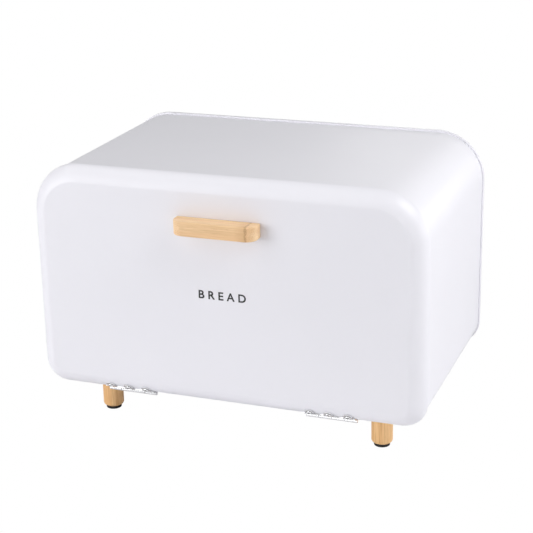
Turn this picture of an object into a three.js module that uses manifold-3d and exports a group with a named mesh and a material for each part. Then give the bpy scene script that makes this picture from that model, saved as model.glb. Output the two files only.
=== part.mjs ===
// Bread box with a fall-front door.
// A sheet-steel box with large round corners stands on four wooden legs. Its whole front is a pressed
// door that turns on two small hinges along the bottom edge and is held shut by two magnets.
//
// Millimetres, +Z up, +X to the right as seen from the front, the door faces -Y.
// The origin is on the floor, below the middle of the outer box (handle included).
// Pieces are drawn in the box's own coordinates: y = 0 at the door's face, z = 0 at the door's underside.

import * as THREE from "three";
import { mergeVertices, toCreasedNormals } from "three/addons/utils/BufferGeometryUtils.js";
import Module from "manifold-3d";

const wasm = await Module();
wasm.setup();

// ---- driving dimensions ----

// Box, measured over the door and the back rim.
const WIDTH = 400;
const HEIGHT = 231.6;
const DEPTH = 241;
const TOP_RADIUS = 49.5;
const BOTTOM_RADIUS = 24.8;
const SHEET = 0.8;
const GAP = 0.3; // left between pieces that touch

// Door: a pan whose edge is a quarter circle, folded inwards at the back.
const DOOR_DEPTH = 16;
const DOOR_FLANGE = 10;
const DOOR_SEAM = 1; // between the closed door and the body

// Body wrap: stands back from the door's outline, folded inwards at the front.
const BODY_INSET = 1.6;
const BODY_FLANGE = 12;
const BODY_BEND = 1.4;

// Back panel: its rim is a channel that takes the wrap's rear edge.
const BACK_RIM_DEPTH = 5;
const BACK_RIM_WALL = 0.9;
const BACK_RIM_ROOM = 0.6; // between the wrap and each wall of the channel
const BACK_EDGE = 0.8; // round of the rim's outer edge
const VENT_RADIUS = 3;
const VENT_COUNT = 9;
const VENT_PITCH = 15;
const VENT_BELOW_TOP = 52;

// Handle.
const HANDLE_LENGTH = 84;
const HANDLE_REACH = 18; // from the door's face to the front of the handle
const HANDLE_HEIGHT = 14.4;
const HANDLE_END_RADIUS = 11;
const HANDLE_EDGE = 1.2;
const HANDLE_BELOW_TOP = 46; // from the top of the door to the middle of the handle
const HANDLE_SCREW_PITCH = 48;

// Legs and their pads.
const CLEARANCE_UNDER_BOX = 40.8; // from the floor to the door's underside
const LEG_RADIUS = 10.6;
const LEG_ROUND = 3.4;
const LEG_OFF_CENTRE = 145.8;
const LEG_FROM_FACE = 50.4; // from the door's face, and from the back, to a leg's axis
const PAD_RADIUS = 7.9;
const PAD_THICKNESS = 2.8;
const PAD_ROUND = 0.5;

// Hinges.
const HINGE_LENGTH = 52;
const HINGE_OFF_CENTRE = 105.2;
const KNUCKLE_BELOW_DOOR = 0.7; // between the door's underside and the barrel
const KNUCKLES = 4;
const KNUCKLE_RADIUS = 1.9;
const KNUCKLE_GAP = 0.3;
const PIN_RADIUS = 0.9;
const PIN_CLEARANCE = 0.2;
const LEAF = 0.8;
const EAR_RADIUS = 4.9;
const EAR_REACH = 12.4; // from the pin's axis to an ear's middle, along the leaf
const EAR_ROOT = 1.5; // how far an ear's circle runs into the leaf's straight strip
const EAR_PITCH = 19.4;
const EARS = [-1, 0, 1];

// Rivets.
const RIVET_RADIUS = 1.5;
const RIVET_HEAD_RADIUS = 2.7;
const RIVET_HEAD_HEIGHT = 1.1;
const RIVET_TAIL_RADIUS = 2.3;
const RIVET_TAIL_HEIGHT = 0.8;
const RIVET_HOLE_RADIUS = 1.1;
const RIVET_HOLE_DEPTH = 1.6;

// Screws and washers.
const LEG_SCREW = { radius: 2, length: 20, head: 4, headHeight: 2.6 };
const HANDLE_SCREW = { radius: 1.6, length: 14, head: 3.2, headHeight: 2.2 };
const WASHER_THICKNESS = 0.8;
const WASHER_MARGIN = 1.4; // washer's edge beyond the screw head
const SCREW_TIP = 3;

// Magnet catches.
const CATCH_OFF_CENTRE = 110;
const CUP_RADIUS = 4.5;
const CUP_COLLAR_RADIUS = 5.3;
const CUP_COLLAR = 0.4;
const CUP_DEPTH = 7;
const MAGNET_RADIUS = 3.2;
const MAGNET_THICKNESS = 3;

// Steps that stand for round stretches.
const CORNER_STEPS = 8;
const EDGE_STEPS = 6;
const ROUND_STEPS = 20;
const SMALL_STEPS = 12;

// ---- places worked out from the dimensions ----

const FACE_Y = (HANDLE_REACH - DEPTH) / 2;
const BODY_FRONT = DOOR_DEPTH + DOOR_SEAM;
const WRAP_INSIDE = BODY_INSET + SHEET;
const BACK_CHANNEL_INNER = WRAP_INSIDE + BACK_RIM_ROOM;
const HANDLE_Z = HEIGHT - HANDLE_BELOW_TOP;
const CATCH_INSET = BODY_INSET + BODY_FLANGE / 2;
const CUP_MOUTH = BODY_FRONT - GAP - CUP_COLLAR;
const WASHER_SEAT = SHEET + GAP; // above the sheet's outer face
const HEAD_SEAT = WASHER_SEAT + WASHER_THICKNESS + GAP;
const HINGE_DROP = KNUCKLE_BELOW_DOOR + KNUCKLE_RADIUS; // from the door's underside to the pin's axis
const PIN_BORE = PIN_RADIUS + PIN_CLEARANCE;
const RIVET_BORE = RIVET_RADIUS + GAP;
const RIVET_GRIP = GAP + LEAF + GAP + SHEET + GAP; // from the head's underside to the set end
const LEAF_INNER_RADIUS = DOOR_DEPTH + GAP;
const LEAF_OUTER_RADIUS = LEAF_INNER_RADIUS + LEAF;
const LEAF_MEAN_RADIUS = (LEAF_INNER_RADIUS + LEAF_OUTER_RADIUS) / 2;
const LEAF_TOP = BODY_INSET - GAP; // upper face of the leaf under the floor
const LEAF_STRIP = EAR_REACH - EAR_RADIUS + EAR_ROOT; // from the pin's axis to the strip's edge
const EAR_ANGLE = EAR_REACH / LEAF_MEAN_RADIUS; // round the door's edge, from straight down
// How far the door's round edge falls away under a rivet's set end.
const TAIL_SAG = DOOR_DEPTH - Math.sqrt(DOOR_DEPTH ** 2 - RIVET_TAIL_RADIUS ** 2);
const SIDES = { left: -1, right: 1 };
const ENDS = { front: LEG_FROM_FACE, rear: DEPTH - LEG_FROM_FACE };

// ---- materials ----

const finish = (color, roughness, metalness) => ({ color, roughness, metalness });
const WHITE_COAT = finish(0xeceaf0, 0.4, 0);
const BAMBOO = finish(0xe8bd8b, 0.55, 0);
const BLACK_RUBBER = finish(0x141312, 0.85, 0);
const CHROME = finish(0xd8dade, 0.15, 1);
const ZINC = finish(0xb9bcc0, 0.35, 1);
const WHITE_PLASTIC = finish(0xf1f1ee, 0.45, 0);
const NICKEL = finish(0xc9c7c2, 0.25, 1);

// ---- solids: join, cut and keep the common part ----

function toSolid(geometry) {
  const bare = new THREE.BufferGeometry();
  bare.setAttribute("position", geometry.getAttribute("position"));
  bare.setIndex(geometry.index);
  const merged = mergeVertices(bare, 1e-4);
  return new wasm.Manifold(
    new wasm.Mesh({
      numProp: 3,
      vertProperties: merged.getAttribute("position").array,
      triVerts: new Uint32Array(merged.index.array),
    }),
  );
}

function toGeometry(solid) {
  const { vertProperties, triVerts } = solid.getMesh();
  const geometry = new THREE.BufferGeometry();
  geometry.setAttribute("position", new THREE.BufferAttribute(vertProperties, 3));
  geometry.setIndex(new THREE.BufferAttribute(triVerts, 1));
  return geometry;
}

function combine(operation, first, others) {
  return toGeometry(others.reduce((solid, other) => solid[operation](toSolid(other)), toSolid(first)));
}

const join = (first, ...others) => combine("add", first, others);
const cut = (first, ...others) => combine("subtract", first, others);
const common = (first, ...others) => combine("intersect", first, others);

// ---- shapes ----

// The box's front outline, seen from the front and drawn this far inside its outer size.
function outline(inset) {
  const side = WIDTH / 2 - inset;
  const top = HEIGHT - inset;
  const topRadius = TOP_RADIUS - inset;
  const bottomRadius = BOTTOM_RADIUS - inset;
  const quarter = Math.PI / 2;
  const path = new THREE.Path();
  path.absarc(side - topRadius, top - topRadius, topRadius, 0, quarter);
  path.absarc(topRadius - side, top - topRadius, topRadius, quarter, 2 * quarter);
  path.absarc(bottomRadius - side, inset + bottomRadius, bottomRadius, 2 * quarter, 3 * quarter);
  path.absarc(side - bottomRadius, inset + bottomRadius, bottomRadius, 3 * quarter, 4 * quarter);
  return path.getPoints(CORNER_STEPS / 2);
}

// A skin carried round the outline. The profile lists [inset, y] from one side of the sheet round to the
// other. A band closes its profile on itself; a pan closes it with a flat face at each end.
function carried(profile, isPan) {
  const outlines = profile.map(([inset]) => outline(inset));
  const count = outlines[0].length;
  const position = outlines.flatMap((points, ring) => {
    const depth = profile[ring][1];
    return points.flatMap((p) => [p.x, depth, p.y]);
  });
  const index = [];
  const spans = isPan ? profile.length - 1 : profile.length;
  for (let ring = 0; ring < spans; ring++) {
    const next = (ring + 1) % profile.length;
    for (let i = 0; i < count; i++) {
      const j = (i + 1) % count;
      index.push(ring * count + i, ring * count + j, next * count + i);
      index.push(ring * count + j, next * count + j, next * count + i);
    }
  }
  if (isPan) {
    const last = profile.length - 1;
    for (const [a, b, c] of THREE.ShapeUtils.triangulateShape(outlines[0], [])) index.push(c, b, a);
    for (const [a, b, c] of THREE.ShapeUtils.triangulateShape(outlines[last], []))
      index.push(last * count + a, last * count + b, last * count + c);
  }
  const geometry = new THREE.BufferGeometry();
  geometry.setAttribute("position", new THREE.Float32BufferAttribute(position, 3));
  geometry.setIndex(index);
  return geometry;
}

// Points of an arc in a profile's own plane, both ends included.
function arc(u, v, radius, from, to, steps) {
  return Array.from({ length: steps + 1 }, (_, i) => {
    const angle = from + ((to - from) * i) / steps;
    return [u + radius * Math.cos(angle), v + radius * Math.sin(angle)];
  });
}

// A turned solid about +Z, from its [radius, height] points, lowest first.
function turned(points, steps = SMALL_STEPS) {
  const profile = points.map(([radius, height]) => new THREE.Vector2(radius, height));
  return new THREE.LatheGeometry(profile, steps).rotateX(Math.PI / 2);
}

// A shape drawn in (y, z) and extruded along X, centred on x = 0.
function alongX(shape, length) {
  const settings = { depth: length, bevelEnabled: false, curveSegments: EDGE_STEPS };
  const turn = new THREE.Matrix4().makeBasis(
    new THREE.Vector3(0, 1, 0),
    new THREE.Vector3(0, 0, 1),
    new THREE.Vector3(1, 0, 0),
  );
  return new THREE.ExtrudeGeometry(shape, settings).translate(0, 0, -length / 2).applyMatrix4(turn);
}

const block = (x, y, z, cx, cy, cz) => new THREE.BoxGeometry(x, y, z).translate(cx, cy, cz);
const rod = (radius, length, steps = SMALL_STEPS) =>
  new THREE.CylinderGeometry(radius, radius, length, steps).rotateX(Math.PI / 2);

// Where a rivet goes through the door's round edge: about the edge's own centre line, pointing outwards.
function onDoorEdge(geometry, x) {
  geometry.rotateX(Math.PI - EAR_ANGLE);
  return geometry.translate(x, DOOR_DEPTH, DOOR_DEPTH);
}

// ---- sheet-metal pieces ----

function doorPanel() {
  const half = Math.PI / 2;
  const inside = arc(DOOR_DEPTH, DOOR_DEPTH, DOOR_DEPTH - SHEET, -half, -2 * half, EDGE_STEPS);
  inside[EDGE_STEPS] = [SHEET, DOOR_DEPTH - SHEET];
  const fold = [
    [DOOR_FLANGE, DOOR_DEPTH - SHEET],
    [DOOR_FLANGE, DOOR_DEPTH],
  ];
  const outside = arc(DOOR_DEPTH, DOOR_DEPTH, DOOR_DEPTH, -2 * half, -half, EDGE_STEPS);
  const pan = carried([...inside, ...fold, ...outside], true);
  const screwHoles = Object.values(SIDES).map((side) =>
    rod(HANDLE_SCREW.radius + GAP, 4 * SHEET)
      .rotateX(Math.PI / 2)
      .translate((side * HANDLE_SCREW_PITCH) / 2, 0, HANDLE_Z),
  );
  const rivetHoles = hingeRivetPlaces().map((x) =>
    onDoorEdge(rod(RIVET_BORE, 4 * SHEET).translate(0, 0, DOOR_DEPTH), x),
  );
  return cut(pan, ...screwHoles, ...rivetHoles);
}

function hingeRivetPlaces() {
  return Object.values(SIDES).flatMap((side) => EARS.map((ear) => side * HINGE_OFF_CENTRE + ear * EAR_PITCH));
}

function bodyWrap() {
  const front = BODY_FRONT;
  const rear = DEPTH - BACK_RIM_WALL - GAP;
  const flangeEdge = BODY_INSET + BODY_FLANGE;
  const bend = BODY_INSET + BODY_BEND;
  const half = Math.PI / 2;
  const band = carried(
    [
      [WRAP_INSIDE, rear],
      [BODY_INSET, rear],
      ...arc(bend, front + BODY_BEND, BODY_BEND, -2 * half, -half, 3),
      [flangeEdge, front],
      [flangeEdge, front + SHEET],
      ...arc(bend, front + BODY_BEND, BODY_BEND - SHEET, 3 * half, 2 * half, 2),
    ],
    false,
  );
  const floorHole = (x, y, radius) => rod(radius, 6 * SHEET).translate(x, y, BODY_INSET);
  const legHoles = legPlaces().map(({ x, y }) => floorHole(x, y, LEG_SCREW.radius + GAP));
  const rivetHoles = hingeRivetPlaces().map((x) => floorHole(x, DOOR_DEPTH + EAR_REACH, RIVET_BORE));
  const cupHoles = Object.values(SIDES).map((side) =>
    rod(CUP_RADIUS + GAP, 6 * SHEET)
      .rotateX(Math.PI / 2)
      .translate(side * CATCH_OFF_CENTRE, front, HEIGHT - CATCH_INSET),
  );
  return cut(band, ...legHoles, ...rivetHoles, ...cupHoles);
}

function backPanel() {
  const front = DEPTH - BACK_RIM_DEPTH;
  const half = Math.PI / 2;
  const inner = BACK_CHANNEL_INNER;
  const panel = carried(
    [
      [inner + BACK_RIM_WALL, front + SHEET],
      [inner + BACK_RIM_WALL, DEPTH],
      ...arc(BACK_EDGE, DEPTH - BACK_EDGE, BACK_EDGE, half, 2 * half, 3),
      [0, front],
      [BACK_RIM_WALL, front],
      [BACK_RIM_WALL, DEPTH - BACK_RIM_WALL],
      [inner, DEPTH - BACK_RIM_WALL],
      [inner, front],
    ],
    true,
  );
  const vents = Array.from({ length: VENT_COUNT }, (_, i) =>
    rod(VENT_RADIUS, 6 * SHEET)
      .rotateX(Math.PI / 2)
      .translate((i - (VENT_COUNT - 1) / 2) * VENT_PITCH, front, HEIGHT - VENT_BELOW_TOP),
  );
  return cut(panel, ...vents);
}

// ---- wooden pieces ----

// A bar with round front corners, its edges eased, bored for its two screws.
function handle() {
  const half = HANDLE_LENGTH / 2;
  const front = -HANDLE_REACH;
  const quarter = Math.PI / 2;
  const plan = new THREE.Shape();
  plan.moveTo(half, -GAP);
  plan.lineTo(-half, -GAP);
  const arcX = half - HANDLE_END_RADIUS;
  const arcY = front + HANDLE_END_RADIUS;
  plan.absarc(-arcX, arcY, HANDLE_END_RADIUS, 2 * quarter, 3 * quarter);
  plan.absarc(arcX, arcY, HANDLE_END_RADIUS, 3 * quarter, 4 * quarter);
  const bar = new THREE.ExtrudeGeometry(plan, {
    depth: HANDLE_HEIGHT - 2 * HANDLE_EDGE,
    curveSegments: EDGE_STEPS,
    bevelThickness: HANDLE_EDGE,
    bevelSize: HANDLE_EDGE,
    bevelOffset: -HANDLE_EDGE,
    bevelSegments: 2,
  });
  bar.translate(0, 0, HANDLE_Z - HANDLE_HEIGHT / 2 + HANDLE_EDGE);
  const boreEnd = screwReach(HANDLE_SCREW) + GAP;
  const bores = Object.values(SIDES).map((side) =>
    rod(HANDLE_SCREW.radius + GAP, boreEnd)
      .rotateX(Math.PI / 2)
      .translate((side * HANDLE_SCREW_PITCH) / 2, -boreEnd / 2, HANDLE_Z),
  );
  return cut(bar, ...bores);
}

// A leg bored from above for its screw.
function leg() {
  const top = BODY_INSET - GAP;
  const bottom = PAD_THICKNESS + GAP - CLEARANCE_UNDER_BOX;
  const boreRadius = LEG_SCREW.radius + GAP;
  const boreEnd = BODY_INSET - screwReach(LEG_SCREW) - GAP;
  return turned(
    [
      [0, bottom],
      ...arc(LEG_RADIUS - LEG_ROUND, bottom + LEG_ROUND, LEG_ROUND, -Math.PI / 2, 0, 3),
      [LEG_RADIUS, top],
      [boreRadius, top],
      [boreRadius, boreEnd],
      [0, boreEnd],
    ],
    ROUND_STEPS,
  );
}

function legPlaces() {
  return Object.entries(ENDS).flatMap(([end, y]) =>
    Object.entries(SIDES).map(([side, sign]) => ({ name: end + "_" + side, x: sign * LEG_OFF_CENTRE, y })),
  );
}

function footPad() {
  const bottom = -CLEARANCE_UNDER_BOX;
  return turned(
    [
      [0, bottom],
      [PAD_RADIUS - PAD_ROUND, bottom],
      [PAD_RADIUS, bottom + PAD_ROUND],
      [PAD_RADIUS, bottom + PAD_THICKNESS],
      [0, bottom + PAD_THICKNESS],
    ],
    ROUND_STEPS,
  );
}

// ---- fasteners ----

// How far a screw goes beyond the outer face of the sheet that it clamps.
function screwReach({ length }) {
  return length - HEAD_SEAT;
}

// A round-head screw pointing down, with its head resting on z = 0.
function screw({ radius, length, head, headHeight }) {
  return turned([
    [0, -length],
    [radius, SCREW_TIP - length],
    [radius, 0],
    [head, 0],
    [head, headHeight * 0.35],
    [head * 0.72, headHeight * 0.85],
    [0, headHeight],
  ]);
}

// A washer lying on z = 0, for this screw.
function washer({ radius, head }) {
  const inner = radius + GAP;
  const outer = head + WASHER_MARGIN;
  return turned([
    [inner, 0],
    [outer, 0],
    [outer, WASHER_THICKNESS],
    [inner, WASHER_THICKNESS],
    [inner, 0],
  ]);
}

// A hollow rivet pointing up, with its head's flat underside on z = 0 and its set end below the grip.
function rivet(grip) {
  return turned([
    [0, -grip - RIVET_TAIL_HEIGHT],
    [RIVET_TAIL_RADIUS, -grip - RIVET_TAIL_HEIGHT],
    [RIVET_TAIL_RADIUS, -grip],
    [RIVET_RADIUS, -grip],
    [RIVET_RADIUS, 0],
    [RIVET_HEAD_RADIUS, 0],
    [RIVET_HEAD_RADIUS, RIVET_HEAD_HEIGHT * 0.3],
    [RIVET_HEAD_RADIUS * 0.7, RIVET_HEAD_HEIGHT],
    [RIVET_HOLE_RADIUS, RIVET_HEAD_HEIGHT],
    [RIVET_HOLE_RADIUS, RIVET_HEAD_HEIGHT - RIVET_HOLE_DEPTH],
    [0, RIVET_HEAD_HEIGHT - RIVET_HOLE_DEPTH],
  ]);
}

// ---- hinges, drawn about x = 0 ----

const knuckleCentre = (i) => (i - (KNUCKLES - 1) / 2) * (HINGE_LENGTH / KNUCKLES);
const allKnuckles = Array.from({ length: KNUCKLES }, (_, i) => i);
const knucklesOf = (parity) => allKnuckles.filter((i) => i % 2 === parity);

function knuckle(i) {
  const ring = new THREE.Shape();
  ring.absarc(DOOR_DEPTH, -HINGE_DROP, KNUCKLE_RADIUS, 0, 2 * Math.PI);
  const bore = new THREE.Path();
  bore.absarc(DOOR_DEPTH, -HINGE_DROP, PIN_BORE, 0, 2 * Math.PI);
  ring.holes.push(bore);
  return alongX(ring, HINGE_LENGTH / KNUCKLES - KNUCKLE_GAP).translate(knuckleCentre(i), 0, 0);
}

// Room round the other leaf's knuckle.
function knuckleRoom(i) {
  const reach = KNUCKLE_RADIUS + 2 * GAP;
  const length = HINGE_LENGTH / KNUCKLES + KNUCKLE_GAP;
  return block(length, 2 * reach, 2 * reach + LEAF, knuckleCentre(i), DOOR_DEPTH, LEAF - HINGE_DROP);
}

function withKnuckles(leaf, parity) {
  const own = knucklesOf(parity).map(knuckle);
  const room = knucklesOf(1 - parity).map(knuckleRoom);
  const bore = rod(PIN_BORE, HINGE_LENGTH + 2)
    .rotateY(Math.PI / 2)
    .translate(0, DOOR_DEPTH, -HINGE_DROP);
  return join(cut(leaf, ...room, bore), ...own);
}

// The door's leaf lies round the door's edge: a strip with three round ears.
function doorLeaf() {
  const sector = (reach) => {
    const from = -Math.PI / 2 - reach / LEAF_MEAN_RADIUS;
    const shape = new THREE.Shape();
    shape.absarc(DOOR_DEPTH, DOOR_DEPTH, LEAF_OUTER_RADIUS, from, -Math.PI / 2);
    shape.absarc(DOOR_DEPTH, DOOR_DEPTH, LEAF_INNER_RADIUS, -Math.PI / 2, from, true);
    return alongX(shape, HINGE_LENGTH);
  };
  const ears = EARS.map((ear) =>
    onDoorEdge(rod(EAR_RADIUS, 6 * LEAF, ROUND_STEPS).translate(0, 0, LEAF_MEAN_RADIUS), ear * EAR_PITCH),
  );
  const holes = EARS.map((ear) =>
    onDoorEdge(rod(RIVET_BORE, 8 * LEAF).translate(0, 0, LEAF_MEAN_RADIUS), ear * EAR_PITCH),
  );
  const earZone = common(sector(EAR_REACH + 2 * EAR_RADIUS), join(...ears));
  return withKnuckles(cut(join(sector(LEAF_STRIP), earZone), ...holes), 0);
}

// The body's leaf lies flat under the floor and steps down to the barrel.
function bodyLeaf() {
  const low = -HINGE_DROP + KNUCKLE_RADIUS;
  const stepStart = DOOR_DEPTH + 1;
  const stepEnd = DOOR_DEPTH + KNUCKLE_RADIUS + 2 * GAP + 1;
  const edge = DOOR_DEPTH + LEAF_STRIP;
  const side = new THREE.Shape();
  side.moveTo(DOOR_DEPTH, low);
  side.lineTo(DOOR_DEPTH, low - LEAF);
  side.lineTo(stepStart, low - LEAF);
  side.lineTo(stepEnd, LEAF_TOP - LEAF);
  side.lineTo(edge, LEAF_TOP - LEAF);
  side.lineTo(edge, LEAF_TOP);
  side.lineTo(stepEnd, LEAF_TOP);
  side.lineTo(stepStart, low);
  const place = (geometry, ear) =>
    geometry.translate(ear * EAR_PITCH, DOOR_DEPTH + EAR_REACH, LEAF_TOP - LEAF / 2);
  const ears = EARS.map((ear) => place(rod(EAR_RADIUS, LEAF, ROUND_STEPS), ear));
  const holes = EARS.map((ear) => place(rod(RIVET_BORE, 4 * LEAF), ear));
  return withKnuckles(cut(join(alongX(side, HINGE_LENGTH), ...ears), ...holes), 1);
}

function hingePin() {
  return rod(PIN_RADIUS, HINGE_LENGTH)
    .rotateY(Math.PI / 2)
    .translate(0, DOOR_DEPTH, -HINGE_DROP);
}

// ---- magnet catch, its mouth towards -Y ----

function magnetCup() {
  const pocket = MAGNET_RADIUS + GAP;
  const pocketDepth = MAGNET_THICKNESS + 2 * GAP;
  return turned([
    [0, -CUP_DEPTH],
    [CUP_RADIUS, -CUP_DEPTH],
    [CUP_RADIUS, -CUP_COLLAR],
    [CUP_COLLAR_RADIUS, -CUP_COLLAR],
    [CUP_COLLAR_RADIUS, 0],
    [pocket, 0],
    [pocket, -pocketDepth],
    [0, -pocketDepth],
  ])
    .rotateX(Math.PI / 2)
    .translate(0, CUP_MOUTH, HEIGHT - CATCH_INSET);
}

function magnet() {
  const front = CUP_MOUTH + GAP;
  return rod(MAGNET_RADIUS, MAGNET_THICKNESS)
    .rotateX(Math.PI / 2)
    .translate(0, front + MAGNET_THICKNESS / 2, HEIGHT - CATCH_INSET);
}

// ---- assembly ----

const breadBox = new THREE.Group();
const body = new THREE.Group();
const door = new THREE.Group();
breadBox.add(body, door);
breadBox.position.set(0, FACE_Y, CLEARANCE_UNDER_BOX);

function add(group, name, geometry, look, x = 0, y = 0, z = 0) {
  const mesh = new THREE.Mesh(toCreasedNormals(geometry, 0.6), new THREE.MeshStandardMaterial(look));
  mesh.name = name;
  mesh.position.set(x, y, z);
  group.add(mesh);
}

add(body, "body_wrap", bodyWrap(), WHITE_COAT);
add(body, "back_panel", backPanel(), WHITE_COAT);

for (const { name, x, y } of legPlaces()) {
  add(body, "leg_" + name, leg(), BAMBOO, x, y);
  add(body, "foot_pad_" + name, footPad(), BLACK_RUBBER, x, y);
  add(body, "leg_washer_" + name, washer(LEG_SCREW), ZINC, x, y, BODY_INSET + WASHER_SEAT);
  add(body, "leg_screw_" + name, screw(LEG_SCREW), ZINC, x, y, BODY_INSET + HEAD_SEAT);
}

for (const [side, sign] of Object.entries(SIDES)) {
  const x = sign * HINGE_OFF_CENTRE;
  add(body, "hinge_body_leaf_" + side, bodyLeaf(), CHROME, x);
  add(body, "hinge_pin_" + side, hingePin(), CHROME, x);
  add(door, "hinge_door_leaf_" + side, doorLeaf(), CHROME, x);
  for (const ear of EARS) {
    const tag = side + "_" + (EARS.indexOf(ear) + 1);
    const rivetX = x + ear * EAR_PITCH;
    const floorRivet = rivet(RIVET_GRIP).rotateX(Math.PI);
    const floorSeat = LEAF_TOP - LEAF - GAP;
    add(body, "hinge_body_rivet_" + tag, floorRivet, CHROME, rivetX, DOOR_DEPTH + EAR_REACH, floorSeat);
    const doorRivet = rivet(RIVET_GRIP + TAIL_SAG).translate(0, 0, LEAF_OUTER_RADIUS + GAP);
    add(door, "hinge_door_rivet_" + tag, onDoorEdge(doorRivet, rivetX), CHROME);
  }
  add(body, "magnet_cup_" + side, magnetCup(), WHITE_PLASTIC, sign * CATCH_OFF_CENTRE);
  add(body, "magnet_" + side, magnet(), NICKEL, sign * CATCH_OFF_CENTRE);
}

add(door, "door_panel", doorPanel(), WHITE_COAT);
add(door, "handle", handle(), BAMBOO);
for (const [side, sign] of Object.entries(SIDES)) {
  const x = (sign * HANDLE_SCREW_PITCH) / 2;
  const handleWasher = washer(HANDLE_SCREW).rotateX(-Math.PI / 2);
  const handleScrew = screw(HANDLE_SCREW).rotateX(-Math.PI / 2);
  add(door, "handle_washer_" + side, handleWasher, ZINC, x, WASHER_SEAT, HANDLE_Z);
  add(door, "handle_screw_" + side, handleScrew, ZINC, x, HEAD_SEAT, HANDLE_Z);
}

export default breadBox;
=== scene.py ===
"""Bread box with a fall-front door: sheet-steel body, bamboo handle and legs, and plated hinges."""

from math import atan2, cos, pi, radians, sin, sqrt, tau

import bmesh
import bpy
import numpy as np
from bpy.props import FloatProperty, FloatVectorProperty, IntProperty, PointerProperty, StringProperty
from mathutils import Matrix, Vector


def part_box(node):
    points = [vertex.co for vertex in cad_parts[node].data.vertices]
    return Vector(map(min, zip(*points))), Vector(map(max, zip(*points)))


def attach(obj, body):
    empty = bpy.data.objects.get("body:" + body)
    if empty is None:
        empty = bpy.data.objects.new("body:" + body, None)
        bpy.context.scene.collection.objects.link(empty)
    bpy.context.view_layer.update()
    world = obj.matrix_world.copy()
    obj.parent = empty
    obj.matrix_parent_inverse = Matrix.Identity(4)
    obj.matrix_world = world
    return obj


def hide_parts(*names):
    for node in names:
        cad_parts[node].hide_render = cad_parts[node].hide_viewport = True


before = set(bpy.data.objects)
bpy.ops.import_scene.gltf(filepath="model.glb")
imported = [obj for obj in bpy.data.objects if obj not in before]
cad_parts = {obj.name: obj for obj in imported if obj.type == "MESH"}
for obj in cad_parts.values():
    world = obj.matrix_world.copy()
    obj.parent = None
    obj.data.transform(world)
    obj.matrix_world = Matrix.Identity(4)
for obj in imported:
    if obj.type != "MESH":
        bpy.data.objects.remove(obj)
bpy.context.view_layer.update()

bl_info = {
    "name": "Bread Box Looks",
    "version": (1, 0, 0),
    "blender": (4, 5, 0),
    "location": "3D View > Sidebar > Bread Box",
    "description": "Makes the visible surfaces of a fall-front bread box and the stage that it stands on",
    "category": "Add Mesh",
}

SIDES = ("left", "right")
ENDS = ("front", "rear")
EARS = (-1, 0, 1)
# The packed body that each leaf of a hinge moves with.
LEAF_BODIES = {"door": "door", "body": "box"}

# Places that the packed model gives, in metres.
DOOR_LOW, DOOR_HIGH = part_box("door_panel")
WRAP_LOW, WRAP_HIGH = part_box("body_wrap")
BACK_LOW, BACK_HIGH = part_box("back_panel")
HANDLE_LOW, HANDLE_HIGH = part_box("handle")
FACE_Y = DOOR_LOW.y
FLOOR_OF_BOX = DOOR_LOW.z
BODY_INSET = WRAP_LOW.x - DOOR_LOW.x
PIN_LOW, PIN_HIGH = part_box("hinge_pin_right")
PIN_Y, PIN_Z = (PIN_LOW.y + PIN_HIGH.y) / 2, (PIN_LOW.z + PIN_HIGH.z) / 2

# How meshes are made, in metres. Points nearer than MERGE are joined. A flat has one more row of points at
# GUARD from a bend, which keeps it flat in shading. A small flat of radius POLE closes a turned piece. Edges
# sharper than CREASE stay sharp.
MERGE = 0.000002
GUARD = 0.0003
POLE = 0.0001
CREASE = radians(32)

# Columns of the sheet-steel pieces: up one side of the box and along its top or underside.
COLUMNS_UP, COLUMNS_ALONG = 32, 72


# ---- settings ----


def length(name, description, default):
    """A property that holds a length in metres."""
    return FloatProperty(
        name=name, description=description, default=default, min=0, unit="LENGTH", precision=5
    )


def position(name, description, default):
    """A property that holds a place along an axis, in metres."""
    return FloatProperty(name=name, description=description, default=default, unit="LENGTH", precision=5)


def number(name, description, default, low=0):
    """A property that holds a plain number."""
    return FloatProperty(name=name, description=description, default=default, min=low)


def rotation(name, description, degrees):
    """A property that holds an angle."""
    return FloatProperty(name=name, description=description, default=radians(degrees), subtype="ANGLE")


def tone(name, description, default):
    """A property that holds a linear colour."""
    return FloatVectorProperty(
        name=name, description=description, default=default, size=3, min=0, subtype="COLOR"
    )


def share(name, description, default):
    """A property that holds a share from 0 to 1."""
    return FloatProperty(
        name=name, description=description, default=default, min=0, max=1, subtype="FACTOR"
    )


class BoxShape(bpy.types.PropertyGroup):
    """Sizes of the sheet-steel pieces."""

    top_radius: length("Top Corners", "Radius of the two upper corners, seen from the front", 0.0495)
    bottom_radius: length("Bottom Corners", "Radius of the two lower corners, seen from the front", 0.0248)
    sheet: length("Sheet", "Thickness of the steel sheet", 0.0008)
    edge_power: number("Edge Power", "Roundness of the door's edge: 2 is round, 1 is a bevel", 1.6, low=1)
    door_bend: length("Door Bend", "Outer radius where the door's edge turns in at its back", 0.0012)
    door_flange: length("Door Flange", "Width of the fold that stiffens the door's back edge", 0.010)
    body_flange: length("Body Flange", "Width of the fold round the body's mouth", 0.012)
    body_bend: length("Body Bend", "Outer radius of the fold round the body's mouth", 0.0014)
    rim_wall: length("Rim Wall", "Thickness of the back panel's folded rim", 0.0009)
    rim_lip: length("Rim Lip", "Thickness of the rim's hemmed front edge", 0.00156)
    lip_round: length("Lip Round", "Radius of the outer edge of the rim's front", 0.0005)
    rim_edge: length("Rim Edge", "Radius of the back rim's outer edge", 0.0008)
    rim_room: length("Rim Room", "Room between the body's sheet and the back rim's inner wall", 0.0006)
    vent_radius: length("Vent Radius", "Radius of an air hole in the back panel", 0.003)
    vent_pitch: length("Vent Pitch", "Distance between the middles of two air holes", 0.015)
    vent_below_top: length("Vents Below Top", "Height of the air holes under the body's top", 0.052)
    vents: IntProperty(name="Vents", description="Number of air holes in the back panel", default=9, min=1)


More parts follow.
